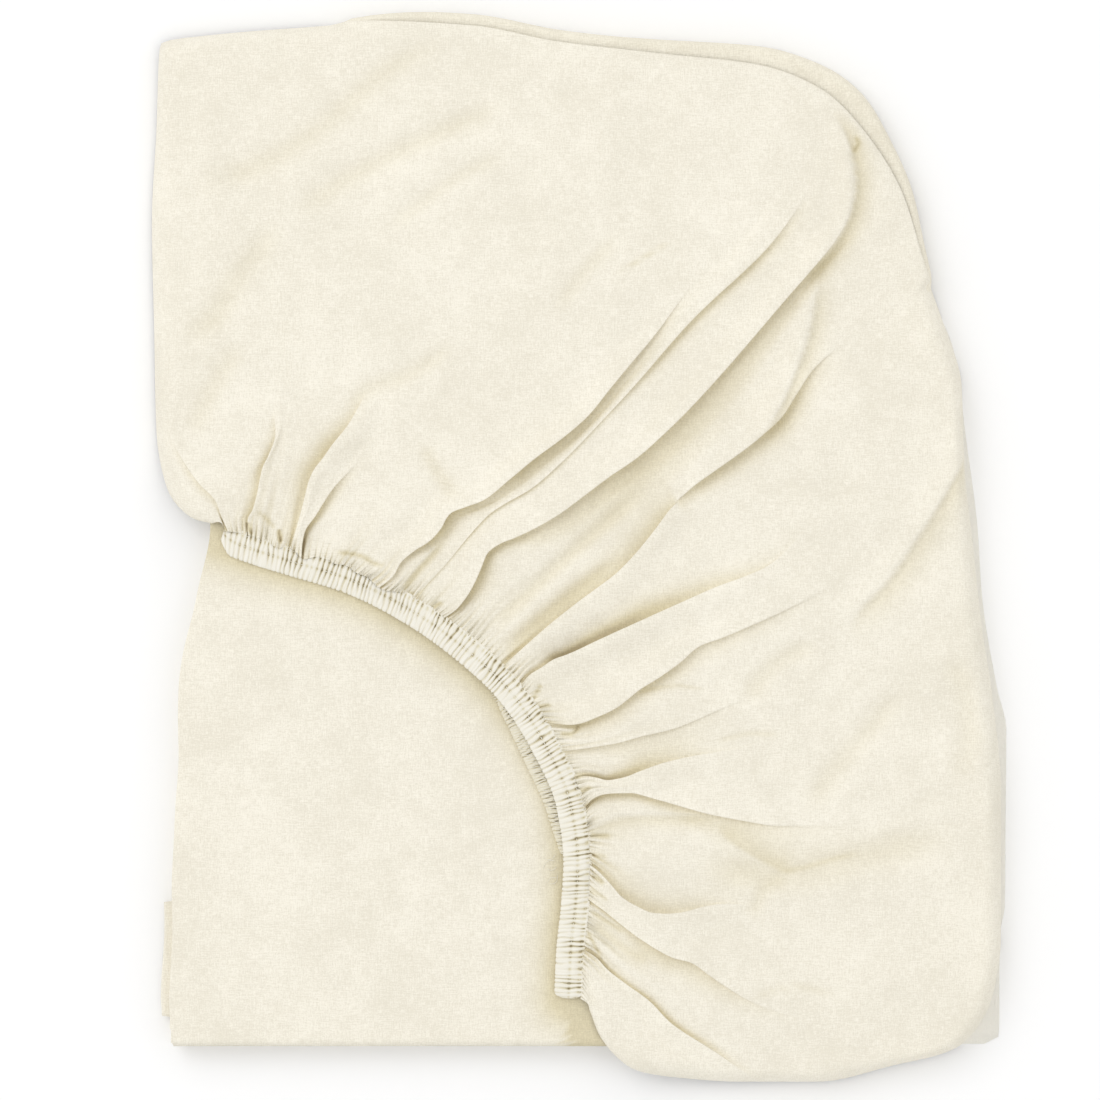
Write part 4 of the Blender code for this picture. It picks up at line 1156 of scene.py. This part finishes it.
class Value:
    """A socket that takes part in arithmetic: each operator adds its Math node."""

    def __init__(self, tree, socket):
        self.tree = tree
        self.socket = socket

    def math(self, operation, *others):
        node = self.tree.nodes.new("ShaderNodeMath")
        node.operation = operation
        for place, other in enumerate((self,) + others):
            plug(self.tree, node.inputs[place], other)
        return Value(self.tree, node.outputs[0])

    def __add__(self, other):
        return self.math("ADD", other)

    __radd__ = __add__

    def __mul__(self, other):
        return self.math("MULTIPLY", other)

    __rmul__ = __mul__

    def __sub__(self, other):
        return self.math("SUBTRACT", other)

    def __rsub__(self, other):
        return (self * -1.0).math("ADD", other)

    def __truediv__(self, other):
        return self.math("DIVIDE", other)

    def __abs__(self):
        return self.math("ABSOLUTE")

    def sine(self):
        return self.math("SINE")

    def power(self, other):
        return self.math("POWER", other)

    def clamped(self):
        node = self.tree.nodes.new("ShaderNodeClamp")
        plug(self.tree, node.inputs[0], self)
        return Value(self.tree, node.outputs[0])


def plug(tree, socket, value):
    """Links a socket, or sets a number or colour on it."""
    if isinstance(value, Value):
        tree.links.new(value.socket, socket)
    else:
        socket.default_value = value


class Finish:
    """A material. Its nodes come from the method node, apart from the Math nodes of Value."""

    def __init__(self, name):
        self.material = bpy.data.materials.new(name)
        self.material.use_nodes = True
        self.tree = self.material.node_tree
        self.shader = self.tree.nodes["Principled BSDF"]

    def node(self, kind, settings=None, **inputs):
        """A node of that type, its settings first, then the values or links of its sockets."""
        node = self.tree.nodes.new(kind)
        for name, value in (settings or {}).items():
            setattr(node, name, value)
        for name, value in inputs.items():
            socket = node.inputs[int(name[1:])] if name[0] == "_" else node.inputs[name.replace("_", " ")]
            plug(self.tree, socket, value)
        return node

    def out(self, node, name=0):
        return Value(self.tree, node.outputs[name])

    def feed(self, **inputs):
        """Sets or links the shader's own sockets."""
        for name, value in inputs.items():
            plug(self.tree, self.shader.inputs[name.replace("_", " ")], value)

    def map_place(self, layer):
        """The place on one of the cloth's UV maps, in millimetres."""
        read = self.node("ShaderNodeUVMap", {"uv_map": layer})
        moved = self.node("ShaderNodeMapping", None, Vector=self.out(read), Scale=(1000, 1000, 1000))
        return self.out(moved)

    def object_place(self):
        return self.out(self.node("ShaderNodeTexCoord"), "Object")

    def hollow(self):
        """The painted shade that the mesh keeps at each point, with painted light below zero."""
        return self.out(self.node("ShaderNodeAttribute", {"attribute_name": PAINTED_SHADE_AND_LIGHT}), "Fac")

    def apart(self, place):
        """The first two coordinates of a place."""
        split = self.node("ShaderNodeSeparateXYZ", None, Vector=place)
        return self.out(split, 0), self.out(split, 1)

    def mixed(self, factor, first, second, blend="MIX"):
        node = self.node("ShaderNodeMix", {"data_type": "RGBA", "blend_type": blend},
                         _0=factor, _6=first, _7=second)
        return self.out(node, 2)

    def noise(self, place, scale, detail=1.0):
        """Smooth noise from 0 to 1 over a place that is first multiplied by a scale per axis."""
        moved = self.node("ShaderNodeMapping", None, Vector=place, Scale=scale)
        node = self.node("ShaderNodeTexNoise", None, Vector=self.out(moved), Scale=1.0, Detail=detail,
                         Roughness=0.5)
        return self.out(node)

    def bumped(self, height, strength, distance):
        node = self.node("ShaderNodeBump", None, Strength=strength, Distance=distance, Height=height)
        return self.out(node)


def painted_light_and_shade(finish, colour, shade):
    """The colour with painted shade in the cloth's hollows: the warm tone up to half shade, the dark one
    beyond.

    Shade below zero is painted light: it lightens the cloth towards a warm white, as on the lowest layer,
    which catches the floor's light.
    """
    looks = bpy.context.scene.sheet_looks
    # Painted light: shade below zero mixes the colour towards a warm white
    colour = finish.mixed((shade * -1.0).clamped(), colour, (1.0, 0.97, 0.88, 1.0))
    colour = finish.mixed((shade * 2.0).clamped(), colour, tuple(looks.painted_hollow_shade), "MULTIPLY")
    return finish.mixed((shade * 2.0 - 1.0).clamped(), colour, tuple(looks.painted_crease_shade), "MULTIPLY")


CLOTH_SHADER = {"Roughness": 0.92, "Metallic": 0.0, "Specular_IOR_Level": 0.18,
                "Sheen_Weight": 0.06, "Sheen_Roughness": 0.6}
GATHER_PITCH = 2.2          # between the finest gathers, which are only in the material
GATHER_FADE = 3.5           # distance over which they fade


def linen(name, colour, shade, thread, mottle, relief):
    """Plain-woven linen: threads over and under, thicker slubs both ways and a faint mottling.

    The over and under of the weave is the product of two sines, which picks the warp or the
    weft on top. Slubs are noise stretched along one thread direction. Pleats beside the
    elastic are a sine along it, raised to a narrow peak and fading with the distance.
    """
    finish = Finish(name)
    place = finish.map_place(CLOTH_MAP)
    warp_slub = finish.noise(place, (1.25, 0.08, 1.0))
    weft_slub = finish.noise(place, (0.08, 1.25, 1.0))
    fine_warp = finish.noise(place, (2.4, 0.3, 1.0))
    fine_weft = finish.noise(place, (0.3, 2.4, 1.0))
    cloud = finish.noise(place, (0.10, 0.10, 1.0), 3.0)
    wide = finish.noise(place, (0.022, 0.022, 1.0), 2.0)
    grain = finish.noise(place, (1.5, 1.5, 1.0), 2.0)
    x, y = finish.apart(place)
    turn = math.pi / thread
    across = (x + cloud * 0.9) * turn
    along = (y + cloud * 0.9) * turn
    warp, weft = abs(across.sine()), abs(along.sine())
    over = ((across.sine() * along.sine()) * 1.5 + 0.5).clamped()
    weave = warp * over + weft * (1 - over)
    slubs = warp_slub + weft_slub
    fine = fine_warp + fine_weft
    tone = slubs * 0.6 + fine * 1.7 + cloud * 0.9 + wide * 1.3 + grain * 2.1 + weave * 0.3 - 4.69
    tone = (tone * mottle + 0.5).clamped()
    gather = finish.map_place(GATHER_MAP)
    travel, distance = finish.apart(gather)
    bend = finish.noise(gather, (0.11, 0.05, 1.0))
    chance = finish.noise(gather, (0.42, 0.06, 1.0))
    pleat = ((travel * (2 * math.pi / GATHER_PITCH) + bend * 9.0).sine() * 0.5 + 0.5).power(7.0)
    fade = (distance * -1.0 / GATHER_FADE).math("EXPONENT") * (chance * 3.6 - 0.8).clamped()
    pleat = pleat * fade
    # Painted shade from the mesh's attribute and from the finest gathers goes into the base colour
    base = painted_light_and_shade(finish, finish.mixed(tone, shade, colour), finish.hollow() + pleat * 0.6)
    height = weave * 0.4 + slubs * 0.7 + fine * 0.6 + grain * 0.5 - pleat * 3.0
    finish.feed(Base_Color=base, Normal=finish.bumped(height, relief, 0.0002), **CLOTH_SHADER)
    return finish.material


def casing(name, colour, shade):
    """The gathered casing round the elastic: fine cloth, shaded along its narrow pleats."""
    finish = Finish(name)
    place = finish.map_place(CLOTH_MAP)
    pleat = finish.noise(place, (1.6, 0.10, 1.0), 2.0)
    grain = finish.noise(place, (3.5, 1.4, 1.0))
    tone = (pleat * 1.6 + grain * 0.5 - 0.55).clamped()
    # The darker colour in the pleats' grooves is painted shade, and so is the mesh's shade from the slits
    # and needle holes
    base = painted_light_and_shade(finish, finish.mixed(tone, shade, colour), finish.hollow())
    normal = finish.bumped(pleat * 0.9 + grain * 0.5, 0.5, 0.00025)
    finish.feed(Base_Color=base, Normal=normal, **CLOTH_SHADER)
    return finish.material


def sewing_thread(name, colour, shade):
    """Twisted thread: a fine grain from its place on the piece."""
    finish = Finish(name)
    grain = finish.noise(finish.object_place(), (2200, 2200, 2200), 2.0)
    finish.feed(Base_Color=finish.mixed(grain, shade, colour), Normal=finish.bumped(grain, 0.4, 0.0001),
                Roughness=0.6)
    return finish.material


# Settings and operators

COLOUR = {"subtype": "COLOR", "size": 4, "min": 0.0, "max": 1.0}


class SheetLooks(bpy.types.PropertyGroup):
    """Colours and finish of the sheet."""

    cloth_colour: FloatVectorProperty(
        name="Cloth", description="Colour of the linen's threads",
        default=(0.925, 0.882, 0.768, 1.0), **COLOUR)
    cloth_shade: FloatVectorProperty(
        name="Cloth shade", description="Colour between the linen's threads",
        default=(0.795, 0.748, 0.630, 1.0), **COLOUR)
    # Painted shade: the tones that the mesh's shade attribute multiplies into the cloth's colour
    painted_hollow_shade: FloatVectorProperty(
        name="Hollow tone", description="What a hollow's half shade leaves of the cloth's colour",
        default=(0.84, 0.80, 0.66, 1.0), **COLOUR)
    painted_crease_shade: FloatVectorProperty(
        name="Crease tone", description="What a deep crease leaves of the hollow's colour",
        default=(0.56, 0.50, 0.40, 1.0), **COLOUR)
    elastic_colour: FloatVectorProperty(
        name="Elastic", description="Colour of the gathered casing",
        default=(0.880, 0.855, 0.780, 1.0), **COLOUR)
    # On the casing this is painted shade in the pleats' grooves; the sewing thread takes it for its grain
    elastic_shade: FloatVectorProperty(
        name="Elastic shade", description="Colour between the casing's pleats",
        default=(0.780, 0.745, 0.640, 1.0), **COLOUR)
    thread_colour: FloatVectorProperty(
        name="Thread", description="Colour of the sewing thread", default=(0.86, 0.84, 0.76, 1.0), **COLOUR)
    thread_pitch: FloatProperty(
        name="Thread pitch", description="Distance between the linen's threads, in millimetres",
        default=0.5, min=0.2, max=2.0)
    weave_relief: FloatProperty(
        name="Weave relief", description="Strength of the weave's relief", subtype="FACTOR",
        default=0.8, min=0.0, max=1.0)
    mottling: FloatProperty(
        name="Mottling", description="Contrast of the uneven colour", subtype="FACTOR",
        default=0.95, min=0.0, max=3.0)


class StageLooks(bpy.types.PropertyGroup):
    """Floor, light and camera."""

    floor_colour: FloatVectorProperty(
        name="Floor", description="Colour of the floor", default=(0.945, 0.945, 0.945, 1.0), **COLOUR)
    floor_side: FloatProperty(
        name="Floor side", description="Side of the square floor", subtype="DISTANCE", unit="LENGTH",
        default=4.0, min=0.5)
    sky_strength: FloatProperty(
        name="Sky", description="Strength of the even light", default=0.945, min=0.0)
    key_power: FloatProperty(
        name="Key light", description="Power of the large soft light", subtype="POWER", unit="POWER",
        default=30.0, min=0.0)
    key_side: FloatProperty(
        name="Key size", description="Side of the large soft light", subtype="DISTANCE", unit="LENGTH",
        default=2.4, min=0.05)
    camera_height: FloatProperty(
        name="Camera height", description="Height of the camera over the floor", subtype="DISTANCE",
        unit="LENGTH", default=2.2, min=0.5)
    view_width: FloatProperty(
        name="View width", description="Width of the picture at the cloth", subtype="DISTANCE",
        unit="LENGTH", default=0.473, min=0.1)


def shared_finish(name, make, *settings):
    """The material of that name, made once and shared by its pieces."""
    return bpy.data.materials.get(name) or make(name, *settings)


def cloth_finish():
    looks = bpy.context.scene.sheet_looks
    return shared_finish("linen", linen, tuple(looks.cloth_colour), tuple(looks.cloth_shade),
                         looks.thread_pitch, looks.mottling, looks.weave_relief)


def elastic_finish():
    looks = bpy.context.scene.sheet_looks
    return shared_finish("gathered_casing", casing, tuple(looks.elastic_colour), tuple(looks.elastic_shade))


def thread_finish():
    looks = bpy.context.scene.sheet_looks
    return shared_finish("sewing_thread", sewing_thread, tuple(looks.thread_colour),
                         tuple(looks.elastic_shade))


class SHEET_OT_packet(bpy.types.Operator):
    """Lay the flat layers of the sheet back and forth"""

    bl_idname = "sheet.packet"
    bl_label = "Folded packet"

    def execute(self, context):
        packet = surface_object("folded_packet", *packet_surface())
        thicken(packet, True)
        dressed(packet, cloth_finish())
        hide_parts("sheet")
        return {"FINISHED"}


class SHEET_OT_second_pocket(bpy.types.Operator):
    """Lay the second corner pocket over the packet"""

    bl_idname = "sheet.second_pocket"
    bl_label = "Second pocket"

    def execute(self, context):
        pocket = surface_object("second_pocket", *second_surface())
        thicken(pocket, False)
        dressed(pocket, cloth_finish())
        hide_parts("sheet")
        return {"FINISHED"}


class SHEET_OT_gathered_pocket(bpy.types.Operator):
    """Gather the top corner pocket over everything, with its folds"""

    bl_idname = "sheet.gathered_pocket"
    bl_label = "Gathered pocket"

    def execute(self, context):
        pocket = surface_object("gathered_pocket", *pocket_surface())
        dressed(pocket, cloth_finish())
        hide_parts("sheet")
        return {"FINISHED"}


class SHEET_OT_elastics(bpy.types.Operator):
    """Run the gathered elastic along the opening, and the second one beside it"""

    bl_idname = "sheet.elastics"
    bl_label = "Elastics"

    def execute(self, context):
        for name, node, made in (("front_elastic", "elastic_band", front_band()),
                                 ("under_elastic", "elastic_band_under", under_band())):
            band = tube_object(name, *made)
            dressed(band, elastic_finish())
            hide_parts(node)
        return {"FINISHED"}


class SHEET_OT_sewing(bpy.types.Operator):
    """Sew the needle rows, the overlocked edge and its loose ends"""

    bl_idname = "sheet.sewing"
    bl_label = "Sewing"

    def execute(self, context):
        for name, paths, radius in (("needle_rows", stitch_paths(), STITCH_RADIUS),
                                    ("overlock_threads", overlock_paths(), OVERLOCK_RADIUS),
                                    ("loose_ends", fray_paths(), FRAY_RADIUS)):
            dressed(strands_object(name, paths, radius), thread_finish())
        return {"FINISHED"}


KEY_PLACE = (-1.7, 1.45, 3.05)      # in metres
VIEW_CENTRE = (-12.9, -0.4)


class SHEET_OT_stage(bpy.types.Operator):
    """Set the floor, the light and the camera straight above"""

    bl_idname = "sheet.stage"
    bl_label = "Stage"

    def execute(self, context):
        looks = context.scene.sheet_stage
        half = looks.floor_side / 2 / MM
        corners = np.array(((-half, -half, 0), (half, -half, 0), (half, half, 0), (-half, half, 0)), float)
        floor = filled_mesh("floor", corners, [np.array(((0, 1, 2, 3),))])
        finish = Finish("pale_floor")
        grain = finish.noise(finish.object_place(), (9, 9, 9), 2.0)
        colour = tuple(looks.floor_colour)
        dimmer = tuple(0.985 * part for part in colour[:3]) + (1.0,)
        finish.feed(Base_Color=finish.mixed(grain, dimmer, colour), Roughness=0.9, Specular_IOR_Level=0.1)
        floor.data.materials.append(finish.material)
        context.scene.view_settings.view_transform = "Standard"
        self.light(context, looks)
        self.camera(context, looks)
        return {"FINISHED"}

    def light(self, context, looks):
        world = bpy.data.worlds.new("even_sky")
        world.use_nodes = True
        sky = world.node_tree.nodes["Background"]
        sky.inputs["Color"].default_value = (1.0, 1.0, 1.0, 1.0)
        sky.inputs["Strength"].default_value = looks.sky_strength
        context.scene.world = world
        lamp = bpy.data.lights.new("key_light", "AREA")
        lamp.shape = "SQUARE"
        lamp.size = looks.key_side
        lamp.energy = looks.key_power
        key = bpy.data.objects.new("key_light", lamp)
        context.scene.collection.objects.link(key)
        key.location = KEY_PLACE
        key.rotation_euler = (-Vector(KEY_PLACE)).to_track_quat("-Z", "Y").to_euler()

    def camera(self, context, looks):
        lens = bpy.data.cameras.new("camera")
        camera = bpy.data.objects.new("camera", lens)
        context.scene.collection.objects.link(camera)
        camera.location = (VIEW_CENTRE[0] * MM, VIEW_CENTRE[1] * MM, looks.camera_height)
        lens.sensor_width = 36.0
        lens.lens = lens.sensor_width * (looks.camera_height - PANEL_TOP * MM) / looks.view_width
        lens.clip_start = 0.05
        lens.clip_end = 20.0
        context.scene.camera = camera


class SHEET_PT_parts(bpy.types.Panel):
    """The sheet's pieces and their looks"""

    bl_idname = "SHEET_PT_parts"
    bl_label = "Crib sheet"
    bl_space_type = "VIEW_3D"
    bl_region_type = "UI"
    bl_category = "Crib sheet"

    def draw(self, context):
        for operator in OPERATORS:
            self.layout.operator(operator.bl_idname)
        for group in (context.scene.sheet_looks, context.scene.sheet_stage):
            for name in group.bl_rna.properties.keys():
                if name not in ("rna_type", "name"):
                    self.layout.prop(group, name)


OPERATORS = (
    SHEET_OT_packet, SHEET_OT_second_pocket, SHEET_OT_gathered_pocket, SHEET_OT_elastics,
    SHEET_OT_sewing, SHEET_OT_stage,
)
CLASSES = (SheetLooks, StageLooks) + OPERATORS + (SHEET_PT_parts,)


def register():
    for part in CLASSES:
        bpy.utils.register_class(part)
    bpy.types.Scene.sheet_looks = PointerProperty(type=SheetLooks)
    bpy.types.Scene.sheet_stage = PointerProperty(type=StageLooks)


def unregister():
    del bpy.types.Scene.sheet_stage
    del bpy.types.Scene.sheet_looks
    for part in reversed(CLASSES):
        bpy.utils.unregister_class(part)


def main():
    register()
    bpy.ops.sheet.stage()
    bpy.ops.sheet.packet()
    bpy.ops.sheet.second_pocket()
    bpy.ops.sheet.gathered_pocket()
    bpy.ops.sheet.elastics()
    bpy.ops.sheet.sewing()


if __name__ == "__main__":
    main()
